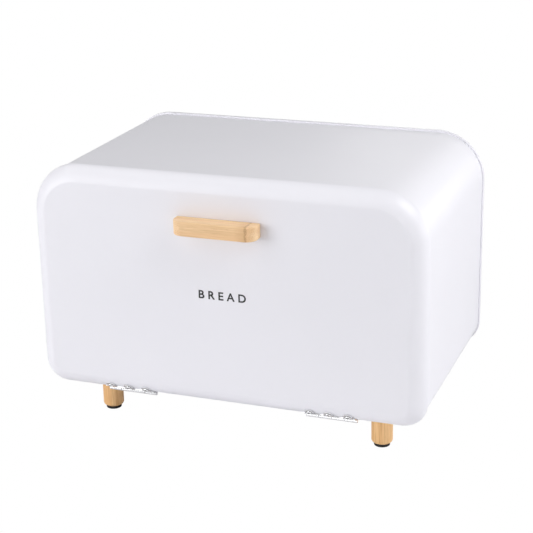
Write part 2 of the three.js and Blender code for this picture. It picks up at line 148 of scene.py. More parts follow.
class CoatLook(bpy.types.PropertyGroup):
    """The white powder coat."""

    colour: tone("Coat", "Colour of the powder coat", (0.842, 0.835, 0.885))
    shade: tone("Coat Shade", "Colour in the coat's slightly thinner patches", (0.812, 0.806, 0.858))
    roughness: share("Roughness", "How matt the coat is", 0.38)
    peel: length("Peel Size", "Width of one dimple of the coat's orange peel", 0.0024)
    peel_depth: length("Peel Depth", "Depth of the orange peel", 0.00003)


class BambooLook(bpy.types.PropertyGroup):
    """The oiled bamboo of the handle and the legs."""

    light: tone("Light Fibre", "Colour between the fibres", (0.92, 0.665, 0.40))
    mid: tone("Mid Fibre", "Colour of most of the wood", (0.84, 0.555, 0.305))
    dark: tone("Dark Fibre", "Colour of the fibre bundles", (0.55, 0.31, 0.13))
    leg_tint: tone("Leg Tint", "What the legs' colours are multiplied by", (1.08, 0.96, 0.77))
    node_mark: tone("Node Mark", "Colour of the dark mark at a node of the cane", (0.30, 0.14, 0.05))
    roughness: share("Roughness", "How matt the oiled wood is", 0.46)


class HandleShape(bpy.types.PropertyGroup):
    """Sizes of the bamboo bar."""

    end_radius: length("End Radius", "Radius of the bar's front corners, seen from above", 0.011)
    back_radius: length("Back Radius", "Radius of the bar's back corners, seen from above", 0.0012)
    edge: length("Eased Edge", "Radius of the bar's long edges", 0.0012)
    node_place: position("Node Place", "Distance of the cane's node from the middle of the bar", 0.0335)


class LegShape(bpy.types.PropertyGroup):
    """Sizes of the legs and pads."""

    foot_round: length("Foot Round", "Radius of a leg's lower edge", 0.0034)
    top_round: length("Top Round", "Radius of a leg's upper edge", 0.0004)
    pad_round: length("Pad Round", "Radius of a pad's lower edge", 0.0005)


class HingeShape(bpy.types.PropertyGroup):
    """Sizes of the hinges and their rivets."""

    leaf: length("Leaf", "Thickness of a hinge leaf", 0.0008)
    play: length("Play", "Gap between two pieces that touch", 0.0003)
    near_reach: length("Near Edge", "From the pin to a leaf's near edge, between its tongues", 0.0027)
    strip: length("Strip", "From the pin to the far edge of a leaf's straight strip", 0.009)
    ear_radius: length("Ear Radius", "Radius of a leaf's round ears", 0.0049)
    ear_reach: length("Ear Reach", "Distance from the pin to an ear's middle, along the leaf", 0.0124)
    ear_pitch: length("Ear Pitch", "Distance between two ears", 0.0194)
    ear_root: length("Ear Root", "Radius of the hollow where an ear leaves the strip", 0.0009)
    knuckle_radius: length("Knuckle Radius", "Outer radius of the barrel", 0.0019)
    knuckle_gap: length("Knuckle Gap", "Gap between two knuckles", 0.0003)
    knuckles: IntProperty(name="Knuckles", description="Number of knuckles of one hinge", default=4, min=2)
    head_radius: length("Rivet Head", "Radius of a rivet's head", 0.0027)
    head_height: length("Rivet Height", "Height of a rivet's head", 0.0008)
    hole_radius: length("Rivet Hole", "Radius of the hole in a hollow rivet", 0.0014)
    hole_depth: length("Rivet Hole Depth", "Depth of the hole in a hollow rivet", 0.0016)
    shank_radius: length("Rivet Shank", "Radius of a rivet's shank", 0.0015)
    tail_radius: length("Rivet Tail", "Radius of a rivet's set end", 0.0023)
    tail_height: length("Rivet Tail Height", "Height of a rivet's set end", 0.0008)
    sag: length("Sag", "How far the inside of the door's round edge lies below a rivet's set end", 0.0002)


class PrintShape(bpy.types.PropertyGroup):
    """The word printed on the door."""

    word: StringProperty(name="Word", description="What the box is for, on its door", default="BREAD")
    capital: length("Capital", "Height of a capital letter", 0.0084)
    centre_x: position("Centre", "Place of the word's middle", 0.0015)
    above_floor: length("Height", "Height of the word's middle above the door's underside", 0.116)
    spacing: number("Spacing", "Share by which the letters stand apart", 1.62, low=0.5)
    weight: length("Weight", "How far each edge of a stroke is moved out", 0.0003)
    film: length("Film", "Thickness of the ink", 0.00004)
    lift: length("Lift", "Gap between the ink and the coat", 0.00001)
    ink: tone("Ink", "Colour of the printed word", (0.012, 0.012, 0.014))


class StageLook(bpy.types.PropertyGroup):
    """Camera, lights and floor."""

    azimuth: rotation("Azimuth", "Camera's turn round the box", 20.6297)
    elevation: rotation("Elevation", "Camera's height above the horizon", 19.2335)
    roll: rotation("Roll", "Camera's turn about its own axis", -1.1657)
    distance: length("Distance", "From the camera to the point it looks at", 1.48412)
    target: FloatVectorProperty(
        name="Target",
        description="Point the camera looks at",
        default=(0.00196, 0.0085, 0.14696),
        unit="LENGTH",
    )
    lens: number("Lens", "Focal length in millimetres", 97.72, low=1)
    floor: tone("Floor", "Colour of the floor", (0.93, 0.93, 0.94))
    backdrop: tone("Backdrop", "Colour of the light all round", (1.0, 1.0, 1.0))
    reflected: number("Reflected Strength", "Strength of the backdrop in reflections", 0.7)


# ---- curves and surfaces ----


def arc(centre, radius, start, end, steps):
    """Points on a circle: centre plus radius times the cosine and sine of evenly spaced angles from start
    to end."""
    angle = np.linspace(start, end, steps + 1)
    return np.stack([centre[0] + radius * np.cos(angle), centre[1] + radius * np.sin(angle)], axis=1)


def rounded_path(corners, radii, steps=6, closed=False, guard=0.0):
    """A polyline whose corners are replaced by arcs: each arc touches both of its sides at radius over
    the tangent of half the corner's angle. A radius of 0 keeps the corner. A guard adds a point that far
    out on both sides of each arc, which keeps the flats flat in shading."""
    corners = np.asarray(corners, float)
    count = len(corners)
    parts = []
    for i in range(count):
        here = corners[i]
        if radii[i] == 0 or (not closed and i in (0, count - 1)):
            parts.append(here[None])
            continue
        before = corners[i - 1] - here
        after = corners[(i + 1) % count] - here
        before /= np.linalg.norm(before)
        after /= np.linalg.norm(after)
        half = np.arccos(np.clip(before @ after, -1, 1)) / 2
        centre = here + (before + after) / np.linalg.norm(before + after) * radii[i] / sin(half)
        first = here + before * radii[i] / np.tan(half)
        last = here + after * radii[i] / np.tan(half)
        start = atan2(first[1] - centre[1], first[0] - centre[0])
        turn = (atan2(last[1] - centre[1], last[0] - centre[0]) - start + pi) % tau - pi
        bend = arc(centre, radii[i], start, start + turn, steps)
        if guard:
            bend = np.concatenate([[first + before * guard], bend, [last + after * guard]])
        parts.append(bend)
    return np.concatenate(parts)


def box_outline(shape, low, high, steps=(10, 16)):
    """The box's outline seen from the front, anticlockwise from the middle of the right-hand side, with
    the inward normal at each point. Each side is a straight stretch between two half corners. Near each
    corner's ends the straight stretch has one more point, which keeps the flats flat in shading."""
    top, bottom = shape.top_radius, shape.bottom_radius
    beside, along = steps
    guard = 0.0015

    def corner(x, z, radius, start):
        """A quarter circle about x and z from this angle on, with fewer points next to an upright side."""
        middle = start + pi / 4
        first = np.linspace(start, middle, beside + 1)
        second = np.linspace(middle, start + pi / 2, along + 1)[1:]
        angle = np.concatenate([first, second])
        if round(start / (pi / 2)) % 2:
            angle = start + pi / 2 - (angle[::-1] - start)
        bend = np.stack([x + radius * np.cos(angle), z + radius * np.sin(angle)], axis=1)
        return bend, -np.stack([np.cos(angle), np.sin(angle)], axis=1)

    def straight(start, end, pieces):
        """Even points on a straight side, whose first and last ones are a guard away from its ends."""
        start, end = np.asarray(start, float), np.asarray(end, float)
        whole = np.linalg.norm(end - start)
        inner = np.linspace(guard / whole, 1 - guard / whole, pieces - 1)
        points = start + (end - start) * inner[:, None]
        forward = (end - start) / whole
        return points, np.tile([-forward[1], forward[0]], (len(points), 1))

    upright = COLUMNS_UP - 2 * beside
    across = COLUMNS_ALONG - 2 * along
    parts = [
        straight((high[0], low[1] + bottom), (high[0], high[1] - top), upright),
        corner(high[0] - top, high[1] - top, top, 0),
        straight((high[0] - top, high[1]), (low[0] + top, high[1]), across),
        corner(low[0] + top, high[1] - top, top, pi / 2),
        straight((low[0], high[1] - top), (low[0], low[1] + bottom), upright),
        corner(low[0] + bottom, low[1] + bottom, bottom, pi),
        straight((low[0] + bottom, low[1]), (high[0] - bottom, low[1]), across),
        corner(high[0] - bottom, low[1] + bottom, bottom, 3 * pi / 2),
    ]
    return tuple(np.concatenate([part[i] for part in parts]) for i in range(2))


def carried(outline, profile):
    """A profile carried along the outline: the point at inset a and depth b is the outline's point plus a
    times its inward normal, at y = b. Rows follow the profile and columns follow the outline."""
    points, inward = outline
    profile = np.asarray(profile, float)
    flat = points[None] + profile[:, :1, None] * inward[None]
    depth = np.broadcast_to(profile[:, 1:2], flat.shape[:2])
    return np.stack([flat[..., 0], depth, flat[..., 1]], axis=2)


def turned(profile, steps):
    """A profile of radius and height turned about the z axis: each point goes round a circle of its own
    radius."""
    profile = np.asarray(profile, float)
    angle = np.arange(steps) * tau / steps
    x = profile[:, :1] * np.cos(angle)
    y = profile[:, :1] * np.sin(angle)
    z = np.broadcast_to(profile[:, 1:2], x.shape)
    return np.stack([x, y, z], axis=2)


def placed(points, turn=None, move=(0, 0, 0)):
    """Points turned by a matrix and then moved."""
    points = np.asarray(points, float)
    if turn is not None:
        points = points @ np.asarray(turn.to_3x3()).T
    return points + np.asarray(move, float)


def sheet_faces(rows, columns, wrap_rows=False, wrap_columns=True):
    """Quads between neighbouring rows and columns of a grid of points."""
    i = np.arange(rows if wrap_rows else rows - 1)[:, None]
    j = np.arange(columns if wrap_columns else columns - 1)[None]
    ii, jj = (i + 1) % rows, (j + 1) % columns
    quads = np.stack([i * columns + j, i * columns + jj, ii * columns + jj, ii * columns + j], axis=-1)
    return quads.reshape(-1, 4).tolist()


def tube(points, wrap_rows=False):
    """A grid whose columns close on themselves, as vertices and faces."""
    rows, columns = points.shape[:2]
    return points.reshape(-1, 3), sheet_faces(rows, columns, wrap_rows)


def capped(points):
    """A tube with a flat cap on its first row and one on its last row."""
    rows, columns = points.shape[:2]
    vertices, faces = tube(points)
    first_cap = list(range(columns))[::-1]
    last_cap = list(range((rows - 1) * columns, rows * columns))
    return vertices, faces + [first_cap, last_cap]


def points_of(mesh):
    """A mesh's points as an array with one row each."""
    points = np.zeros(len(mesh.vertices) * 3)
    mesh.vertices.foreach_get("co", points)
    return points.reshape(-1, 3)


def join_up(mesh):
    """Joins the points of a mesh that meet and turns its faces outwards."""
    work = bmesh.new()
    work.from_mesh(mesh)
    bmesh.ops.remove_doubles(work, verts=work.verts, dist=MERGE)
    bmesh.ops.recalc_face_normals(work, faces=work.faces)
    work.to_mesh(mesh)
    work.free()


def piece_from(name, shells, material, inner=None):
    """One mesh object from several shells of vertices and faces: points that meet are joined, faces are
    turned outwards, and all of it is smooth but for edges sharper than the crease. A shell may end with a
    mask of the faces that have the inner material instead."""
    starts = np.cumsum([0] + [len(shell[0]) for shell in shells])
    vertices = np.concatenate([shell[0] for shell in shells])
    faces = [[i + int(start) for i in face] for shell, start in zip(shells, starts) for face in shell[1]]
    mesh = bpy.data.meshes.new(name)
    mesh.from_pydata(vertices.tolist(), [], faces)
    mesh.materials.append(material)
    if inner:
        mesh.materials.append(inner)
        masks = np.concatenate([shell[2] for shell in shells])
        mesh.polygons.foreach_set("material_index", masks.astype(np.int32))
    join_up(mesh)
    mesh.polygons.foreach_set("use_smooth", np.ones(len(mesh.polygons), bool))
    mesh.set_sharp_from_angle(angle=CREASE)
    piece = bpy.data.objects.new(name, mesh)
    bpy.context.scene.collection.objects.link(piece)
    return piece


def declare(piece, body, slot, *nodes):
    """Says what the piece moves with and which packed nodes it stands for, which are hidden. The finish slot
    is not used.
    """
    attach(piece, body)
    if nodes:
        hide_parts(*nodes)


# ---- materials ----


def new_material(name):
    """A material with one Principled BSDF: the material, its tree and its shader."""
    material = bpy.data.materials.new(name)
    material.use_nodes = True
    tree = material.node_tree
    return material, tree, tree.nodes["Principled BSDF"]


def add_node(tree, kind, inputs=None, **settings):
    """A node with its settings and inputs. An input that is a socket is linked and any other value is
    set."""
    node = tree.nodes.new(kind)
    for key, value in settings.items():
        setattr(node, key, value)
    for key, value in (inputs or {}).items():
        if isinstance(value, bpy.types.NodeSocket):
            tree.links.new(value, node.inputs[key])
        else:
            node.inputs[key].default_value = value
    return node


def add_noise(tree, place, scale, detail, rough=0.5):
    """A noise pattern from 0 to 1."""
    inputs = {"Vector": place, "Scale": scale, "Detail": detail, "Roughness": rough}
    return add_node(tree, "ShaderNodeTexNoise", inputs).outputs["Fac"]


def add_math(tree, operation, *values):
    """One calculation with numbers or sockets."""
    return add_node(tree, "ShaderNodeMath", dict(enumerate(values)), operation=operation).outputs[0]


def add_blend(tree, amount, first, second):
    """A colour that goes from the first to the second as the amount goes from 0 to 1."""
    inputs = {0: amount, 6: first, 7: second}
    return add_node(tree, "ShaderNodeMix", inputs, data_type="RGBA").outputs[2]


def add_ramp(tree, value, start, end, low, high):
    """Goes evenly from low to high while the value goes from start to end, and is flat beyond them."""
    inputs = {"Value": value, "From Min": start, "From Max": end, "To Min": low, "To Max": high}
    return add_node(tree, "ShaderNodeMapRange", inputs).outputs[0]


def new_group(name, inputs, outputs):
    """A shader node group with these named sockets: its tree, its inputs and its outputs."""
    tree = bpy.data.node_groups.new(name, "ShaderNodeTree")
    for socket_name, (kind, default) in inputs.items():
        socket = tree.interface.new_socket(socket_name, in_out="INPUT", socket_type="NodeSocket" + kind)
        if default is not None:
            socket.default_value = default
    for socket_name, kind in outputs.items():
        tree.interface.new_socket(socket_name, in_out="OUTPUT", socket_type="NodeSocket" + kind)
    return tree, tree.nodes.new("NodeGroupInput").outputs, tree.nodes.new("NodeGroupOutput").inputs


def object_coordinates(tree):
    """The place on the piece, in metres."""
    return tree.nodes.new("ShaderNodeTexCoord").outputs["Object"]


def rgba(colour):
    """A colour with full alpha."""
    return (*colour[:3], 1)


def handling_group():
    """Faint wear from wiping and handling: large soft patches plus fine scratches, centred on 0, as a
    change of roughness, and the scratches alone as a height."""
    found = bpy.data.node_groups.get("handling")
    if found:
        return found
    inputs = {
        "Vector": ("Vector", None),
        "Patch Scale": ("Float", 18.0),
        "Grain Scale": ("Float", 900.0),
        "Amount": ("Float", 0.05),
    }
    tree, given, out = new_group("handling", inputs, {"Change": "Float", "Height": "Float"})
    patches = add_noise(tree, given["Vector"], given["Patch Scale"], 3.0)
    grain = add_noise(tree, given["Vector"], given["Grain Scale"], 2.0, 0.6)
    centred = add_math(tree, "SUBTRACT", add_math(tree, "ADD", patches, grain), 1.0)
    tree.links.new(add_math(tree, "MULTIPLY", centred, given["Amount"]), out["Change"])
    tree.links.new(grain, out["Height"])
    return tree


def add_wear(tree, place, patch, grain, amount):
    """The outputs of the handling group, placed in a material with its own scales and amount."""
    inputs = {"Vector": place, "Patch Scale": patch, "Grain Scale": grain, "Amount": amount}
    return add_node(tree, "ShaderNodeGroup", inputs, node_tree=handling_group()).outputs


def link_shader(tree, shader, colour, roughness, height, strength, depth):
    """Gives a shader its colour, its roughness and a bump of this strength and depth."""
    bump = add_node(tree, "ShaderNodeBump", {"Height": height, "Strength": strength, "Distance": depth})
    tree.links.new(colour, shader.inputs["Base Color"])
    tree.links.new(roughness, shader.inputs["Roughness"])
    tree.links.new(bump.outputs[0], shader.inputs["Normal"])


def coat_material(look):
    """Powder coat: nearly white with faint cloudy tone, a soft sheen and fine orange peel."""
    material, tree, shader = new_material("white_powder_coat")
    place = object_coordinates(tree)
    clouds = add_noise(tree, place, 9.0, 3.0, 0.45)
    colour = add_blend(tree, clouds, rgba(look.shade), rgba(look.colour))
    wear = add_wear(tree, place, patch=14.0, grain=700.0, amount=0.06)
    roughness = add_math(tree, "ADD", wear["Change"], look.roughness)
    peel = add_noise(tree, place, 1 / look.peel, 2.0, 0.4)
    link_shader(tree, shader, colour, roughness, peel, 0.35, look.peel_depth)
    shader.inputs["IOR"].default_value = 1.5
    return material


def bamboo_group():
    """Bamboo: thin fibre bundles along the grain, wider strips of slightly different tone, and short dark
    dashes where bundles come to the surface. The grain runs along the vector's x."""
    found = bpy.data.node_groups.get("bamboo_grain")
    if found:
        return found
    tones = {name: ("Color", (1, 1, 1, 1)) for name in ("Light", "Mid", "Dark")}
    outputs = {"Color": "Color", "Change": "Float", "Height": "Float"}
    tree, given, out = new_group("bamboo_grain", {"Vector": ("Vector", None), **tones}, outputs)

    def streaks(along, across, detail, rough):
        scale = (along, across, across)
        stretched = add_node(tree, "ShaderNodeMapping", {"Vector": given["Vector"], "Scale": scale})
        return add_noise(tree, stretched.outputs[0], 1.0, detail, rough)

    strips = streaks(4.0, 150.0, 1.0, 0.4)
    fibres = streaks(30.0, 1500.0, 3.0, 0.6)
    bundles = streaks(90.0, 2200.0, 1.0, 0.5)
    colour = add_blend(tree, add_ramp(tree, strips, 0.36, 0.64, 0.0, 1.0), given["Mid"], given["Light"])
    colour = add_blend(tree, add_ramp(tree, fibres, 0.45, 0.72, 0.0, 0.6), colour, given["Dark"])
    colour = add_blend(tree, add_ramp(tree, bundles, 0.66, 0.74, 0.0, 0.5), colour, given["Dark"])
    tree.links.new(colour, out["Color"])
    tree.links.new(add_math(tree, "MULTIPLY_ADD", fibres, 0.16, -0.08), out["Change"])
    tree.links.new(fibres, out["Height"])
    return tree


def bamboo_material(name, look, turn=(0, 0, 0), tint=(1, 1, 1), node_place=None):
    """Oiled bamboo whose grain runs along x once the pattern is turned. A node of the cane is a narrow
    dark line across the grain with a soft dark patch on one side of it."""
    material, tree, shader = new_material(name)
    turned_place = {"Vector": object_coordinates(tree), "Rotation": turn}
    along = add_node(tree, "ShaderNodeMapping", turned_place).outputs[0]
    inputs = {"Vector": along}
    for key, colour in (("Light", look.light), ("Mid", look.mid), ("Dark", look.dark)):
        inputs[key] = rgba([a * b for a, b in zip(colour, tint)])
    grain = add_node(tree, "ShaderNodeGroup", inputs, node_tree=bamboo_group()).outputs
    colour = grain["Color"]
    if node_place is not None:
        colour = add_cane_node(tree, along, colour, look, node_place)
    roughness = add_math(tree, "ADD", grain["Change"], look.roughness)
    link_shader(tree, shader, colour, roughness, grain["Height"], 0.35, 0.00012)
    return material


def add_cane_node(tree, place, colour, look, node_place):
    """Darkens a thin wavy line across the grain at node_place, and a soft patch just before it."""
    waviness = 0.0044
    across = add_node(tree, "ShaderNodeSeparateXYZ", {"Vector": place}).outputs["X"]
    wobble = add_noise(tree, place, 420.0, 3.0)
    shifted = add_math(tree, "MULTIPLY_ADD", wobble, waviness, across)
    offset = add_math(tree, "SUBTRACT", shifted, node_place + waviness / 2)
    line = add_ramp(tree, add_math(tree, "ABSOLUTE", offset), 0.0002, 0.0016, 0.42, 0.0)
    rise = add_ramp(tree, offset, -0.012, -0.001, 0.0, 0.35)
    end = add_ramp(tree, offset, 0.0, 0.001, 1.0, 0.0)
    shaded = add_blend(tree, add_math(tree, "MULTIPLY", rise, end), colour, rgba(look.dark))
    return add_blend(tree, line, shaded, rgba(look.node_mark))


def plated_material(name, colour, roughness, grain, amount):
    """Plated metal with soft patches and fine grain in its gloss, and slightly duller patches in its
    colour."""
    material, tree, shader = new_material(name)
    place = object_coordinates(tree)
    dull = [0.92 * part for part in colour]
    tint = add_blend(tree, add_noise(tree, place, 120.0, 2.0), rgba(dull), rgba(colour))
    wear = add_wear(tree, place, 40.0, grain, amount)
    rough = add_math(tree, "ADD", wear["Change"], roughness)
    link_shader(tree, shader, tint, rough, wear["Height"], 0.15, 0.00004)
    shader.inputs["Metallic"].default_value = 1.0
    return material


def matt_material(name, colour, roughness, grain, depth):
    """Rubber, plastic, ink or the near-black painted shade of a rivet's bore: an even tone with a faint
    mottle and a fine texture.
    """
    material, tree, shader = new_material(name)
    place = object_coordinates(tree)
    darker = [0.8 * part for part in colour]
    tint = add_blend(tree, add_noise(tree, place, grain / 3, 2.0), rgba(darker), rgba(colour))
    wear = add_wear(tree, place, 60.0, grain, 0.1)
    rough = add_math(tree, "ADD", wear["Change"], roughness)
    link_shader(tree, shader, tint, rough, wear["Height"], 0.4, depth)
    return material


# Each plating: its colour, roughness, scale of the fine grain and amount of wear.
PLATINGS = {
    "chrome_plate": ((0.93, 0.935, 0.945), 0.16, 1500.0, 0.06),
    "zinc_plate": ((0.66, 0.67, 0.69), 0.36, 1200.0, 0.08),
    "nickel_plate": ((0.74, 0.72, 0.68), 0.22, 1200.0, 0.08),
}

# Each matt finish: its colour, roughness, scale of the fine texture and depth of it. The bore is the inside
# of a hollow rivet, which the plating doesn't reach; its near-black colour is painted shade for the shadow
# down the hole.
MATT_FINISHES = {
    "bore_painted_shade": ((0.03, 0.028, 0.026), 0.8, 1200.0, 0.00003),
    "black_rubber": ((0.022, 0.021, 0.02), 0.75, 1800.0, 0.0001),
    "white_plastic": ((0.82, 0.82, 0.8), 0.42, 900.0, 0.00003),
}


def plated(name):
    """A plating, made the first time it is asked for."""
    return bpy.data.materials.get(name) or plated_material(name, *PLATINGS[name])


def matt(name):
    """A matt finish, made the first time it is asked for."""
    return bpy.data.materials.get(name) or matt_material(name, *MATT_FINISHES[name])


def white_coat():
    """The powder coat of the door, the body and the back panel."""
    return bpy.data.materials.get("white_powder_coat") or coat_material(bpy.context.scene.breadbox_coat)


def leg_bamboo():
    """The legs' bamboo, with upright grain."""
    name = "bamboo_upright"
    look = bpy.context.scene.breadbox_bamboo
    upright = (0, pi / 2, 0)
    return bpy.data.materials.get(name) or bamboo_material(name, look, upright, look.leg_tint)


# ---- stage ----


# Each softbox: its name, azimuth and elevation in degrees from the box's middle, distance, size and power.
# Azimuth 0 is in front of the door and 90 is to the right.
SOFTBOXES = (
    ("front_low", 0, 8, 2.4, (1.3, 0.7), 5.6),
    ("front_left_low", -45, 8, 2.4, (1.3, 0.7), 20.8),
    ("front_left", -45, 32, 2.4, (1.3, 1.3), 13.8),
    ("left_high", -90, 58, 2.4, (1.3, 1.3), 12.6),
    ("right_low", 90, 8, 2.4, (1.3, 0.7), 14.6),
    ("near_right", 77, 46, 1.32, (0.7, 0.7), 9.5),
    ("back_right_low", 135, 8, 2.4, (1.3, 0.7), 8.4),
    ("back_low", 180, 8, 2.4, (1.3, 0.7), 4.5),
)


def toward(azimuth, elevation):
    """The direction from the box's middle: azimuth turns it from the door's side and elevation lifts it."""
    return Vector((sin(azimuth) * cos(elevation), -cos(azimuth) * cos(elevation), sin(elevation)))


def camera_matrix(look):
    """The camera's place: it stands at the target plus distance times the direction given by azimuth and
    elevation, looks back at the target and is rolled about that direction."""
    back = toward(look.azimuth, look.elevation)
    level = Vector((cos(look.azimuth), sin(look.azimuth), 0))
    upright = back.cross(level)
    right = cos(look.roll) * level + sin(look.roll) * upright
    up = -sin(look.roll) * level + cos(look.roll) * upright
    matrix = Matrix((right, up, back)).transposed().to_4x4()
    matrix.translation = Vector(look.target) + back * look.distance
    return matrix


def add_light(name, azimuth, elevation, away, size, power):
    """A soft rectangular light that points at the box's middle from this direction and distance."""
    data = bpy.data.lights.new(name, "AREA")
    data.shape = "RECTANGLE"
    data.size, data.size_y = size
    data.energy = power
    lamp = bpy.data.objects.new(name, data)
    aim = Vector((0, 0, (DOOR_LOW.z + DOOR_HIGH.z) / 2))
    direction = toward(azimuth, elevation)
    lamp.location = aim + direction * away
    lamp.rotation_euler = direction.to_track_quat("Z", "Y").to_euler()
    bpy.context.scene.collection.objects.link(lamp)


def floor_material(look):
    """A pale matt floor that is evenly lit where the camera sees it, and clear from below, so that the
    underside of the box can be looked at."""
    material, tree, shader = new_material("pale_floor")
    shader.inputs["Base Color"].default_value = rgba(look.floor)
    shader.inputs["Roughness"].default_value = 0.8
    evenly = add_node(tree, "ShaderNodeEmission", {"Color": (1, 1, 1, 1), "Strength": 1.0})
    clear = add_node(tree, "ShaderNodeBsdfTransparent")
    path = add_node(tree, "ShaderNodeLightPath")
    facing = add_node(tree, "ShaderNodeNewGeometry")
    by_camera = {0: path.outputs["Is Camera Ray"], 1: shader.outputs[0], 2: evenly.outputs[0]}
    seen = add_node(tree, "ShaderNodeMixShader", by_camera)
    by_side = {0: facing.outputs["Backfacing"], 1: seen.outputs[0], 2: clear.outputs[0]}
    whole = add_node(tree, "ShaderNodeMixShader", by_side)
    tree.links.new(whole.outputs[0], tree.nodes["Material Output"].inputs["Surface"])
    return material


class BREADBOX_OT_stage(bpy.types.Operator):
    """Make the floor, the lights and the camera"""

    bl_idname = "breadbox.stage"
    bl_label = "Stage"

    def execute(self, context):
        scene = context.scene
        look = scene.breadbox_stage
        scene.view_settings.view_transform = "Standard"
        data = bpy.data.cameras.new("camera")
        data.sensor_width = 36
        data.lens = look.lens
        data.clip_start, data.clip_end = 0.05, 100
        camera = bpy.data.objects.new("camera", data)
        camera.matrix_world = camera_matrix(look)
        scene.collection.objects.link(camera)
        scene.camera = camera

        world = bpy.data.worlds.new("studio")
        world.use_nodes = True
        tree = world.node_tree
        background = tree.nodes["Background"]
        background.inputs["Color"].default_value = rgba(look.backdrop)
        path = tree.nodes.new("ShaderNodeLightPath")
        reflected = add_math(tree, "MULTIPLY", path.outputs["Is Glossy Ray"], look.reflected)
        strength = add_math(tree, "MAXIMUM", reflected, path.outputs["Is Camera Ray"])
        tree.links.new(strength, background.inputs["Strength"])
        scene.world = world

        material = floor_material(look)
        reach = 6.0
        corners = [(-reach, -reach, 0), (reach, -reach, 0), (reach, reach, 0), (-reach, reach, 0)]
        floor = piece_from("floor", [(np.array(corners, float), [[0, 1, 2, 3]])], material)

        for name, azimuth, elevation, away, size, power in SOFTBOXES:
            add_light(name, radians(azimuth), radians(elevation), away, size, power)
        return {"FINISHED"}


# ---- sheet-steel pieces ----


def outline_box(low, high):
    """The two corners of a piece's outline in the x-z plane."""
    return (low.x, low.z), (high.x, high.z)


def door_section(shape):
    """The door's outer surface from its flat face round to the lip of the fold at its back, as inset and
    depth, with the direction into the sheet at each point. The edge is a superellipse: inset and depth
    over the edge's size, both taken from 1 and raised to the power, add up to 1. A parabola then turns
    the sheet in to the fold."""
    size = DOOR_HIGH.y - FACE_Y
    turn = np.linspace(0, pi / 2, 49)
    power = 2 / shape.edge_power
    edge = size * np.stack([1 - np.sin(turn) ** power, 1 - np.cos(turn) ** power], axis=1)
    edge = edge[edge[:, 1] < size - shape.door_bend]
    leaving = edge[-1] - edge[-2]
    start, finish = edge[-1], np.array([shape.door_bend * 1.2, size])
    corner = np.array([start[0] + leaving[0] * (size - start[1]) / leaving[1], size])
    t = np.linspace(0, 1, 9)[1:, None]
    bend = (1 - t) ** 2 * start + 2 * t * (1 - t) * corner + t**2 * finish
    # Two rows on the face and three on the fold keep both flat in shading.
    clear_of_corners, near_edge, near_bend, near_lip = 0.0235, 0.0008, 0.0005, 0.001
    face = [(clear_of_corners, 0), (size + near_edge, 0)]
    lip = shape.door_flange
    fold = [(finish[0] + near_bend, size), (lip - near_lip, size), (lip - shape.sheet / 2, size)]
    section = np.concatenate([face, edge, bend, fold])
    forward = np.gradient(section, axis=0)
    forward /= np.linalg.norm(forward, axis=1, keepdims=True)
    return section, np.stack([forward[:, 1], -forward[:, 0]], axis=1)


def door_edge_place(shape, reach):
    """The place and the outward direction on the door's lower edge, in the y-z plane, this far round from
    its back towards its face."""
    section, inward = door_section(shape)
    size = DOOR_HIGH.y - FACE_Y
    # Only the edge is kept. The face lies further in, and the last rows are the turn and the fold.
    turn_and_fold = 12
    keep = section[:, 0] <= size
    keep[-turn_and_fold:] = False
    points, inward = section[keep][::-1], inward[keep][::-1]
    points = np.concatenate([[(0, size)], points])
    inward = np.concatenate([[(1, 0)], inward])
    run = np.concatenate([[0], np.cumsum(np.linalg.norm(np.diff(points, axis=0), axis=1))])
    place = np.stack([np.interp(reach, run, points[:, i]) for i in range(2)], axis=-1)
    normal = np.stack([np.interp(reach, run, inward[:, i]) for i in range(2)], axis=-1)
    normal /= np.linalg.norm(normal, axis=-1, keepdims=True)
    flip = (1, 0)
    return place[..., flip] + (FACE_Y, FLOOR_OF_BOX), -normal[..., flip]


class BREADBOX_OT_door_panel(bpy.types.Operator):
    """Make the pressed door with its round edge and the fold at its back"""

    bl_idname = "breadbox.door_panel"
    bl_label = "Door Panel"

    def execute(self, context):
        shape = context.scene.breadbox_shape
        outline = box_outline(shape, *outline_box(DOOR_LOW, DOOR_HIGH))
        outside, inward = door_section(shape)
        inside = outside + inward * shape.sheet
        end, sheet = outside[-1], shape.sheet
        lip = arc(end + (0, -sheet / 2), sheet / 2, pi / 2, -pi / 2, 6)[1:-1]
        profile = np.concatenate([outside, lip, inside[::-1]])
        profile[:, 1] += FACE_Y
        shell = capped(carried(outline, profile))
        door = piece_from("coated_door", [shell], white_coat())
        declare(door, "door", "white_coat", "door_panel")
        return {"FINISHED"}


class BREADBOX_OT_body_wrap(bpy.types.Operator):
    """Make the sheet that goes round the body, with the fold round its mouth"""

    bl_idname = "breadbox.body_wrap"
    bl_label = "Body Wrap"

    def execute(self, context):
        shape = context.scene.breadbox_shape
        outline = box_outline(shape, *outline_box(DOOR_LOW, DOOR_HIGH))
        front, rear = WRAP_LOW.y, WRAP_HIGH.y
        sheet, bend = shape.sheet, shape.body_bend
        outer, inner = BODY_INSET, BODY_INSET + sheet
        lip = BODY_INSET + shape.body_flange
        profile = np.concatenate(
            [
                [(inner, rear), (outer, rear), (outer, front + 2 * bend)],
                arc((outer + bend, front + bend), bend, pi, 3 * pi / 2, 8),
                [(outer + 2 * bend, front), (lip - sheet / 2, front)],
                arc((lip - sheet / 2, front + sheet / 2), sheet / 2, -pi / 2, pi / 2, 6),
                [(outer + 2 * bend, front + sheet)],
                arc((outer + bend, front + bend), bend - sheet, 3 * pi / 2, pi, 6),
                [(inner, front + 2 * bend)],
            ]
        )
        shell = tube(carried(outline, profile), wrap_rows=True)
        body = piece_from("coated_body", [shell], white_coat())
        declare(body, "box", "white_coat", "body_wrap")
        return {"FINISHED"}


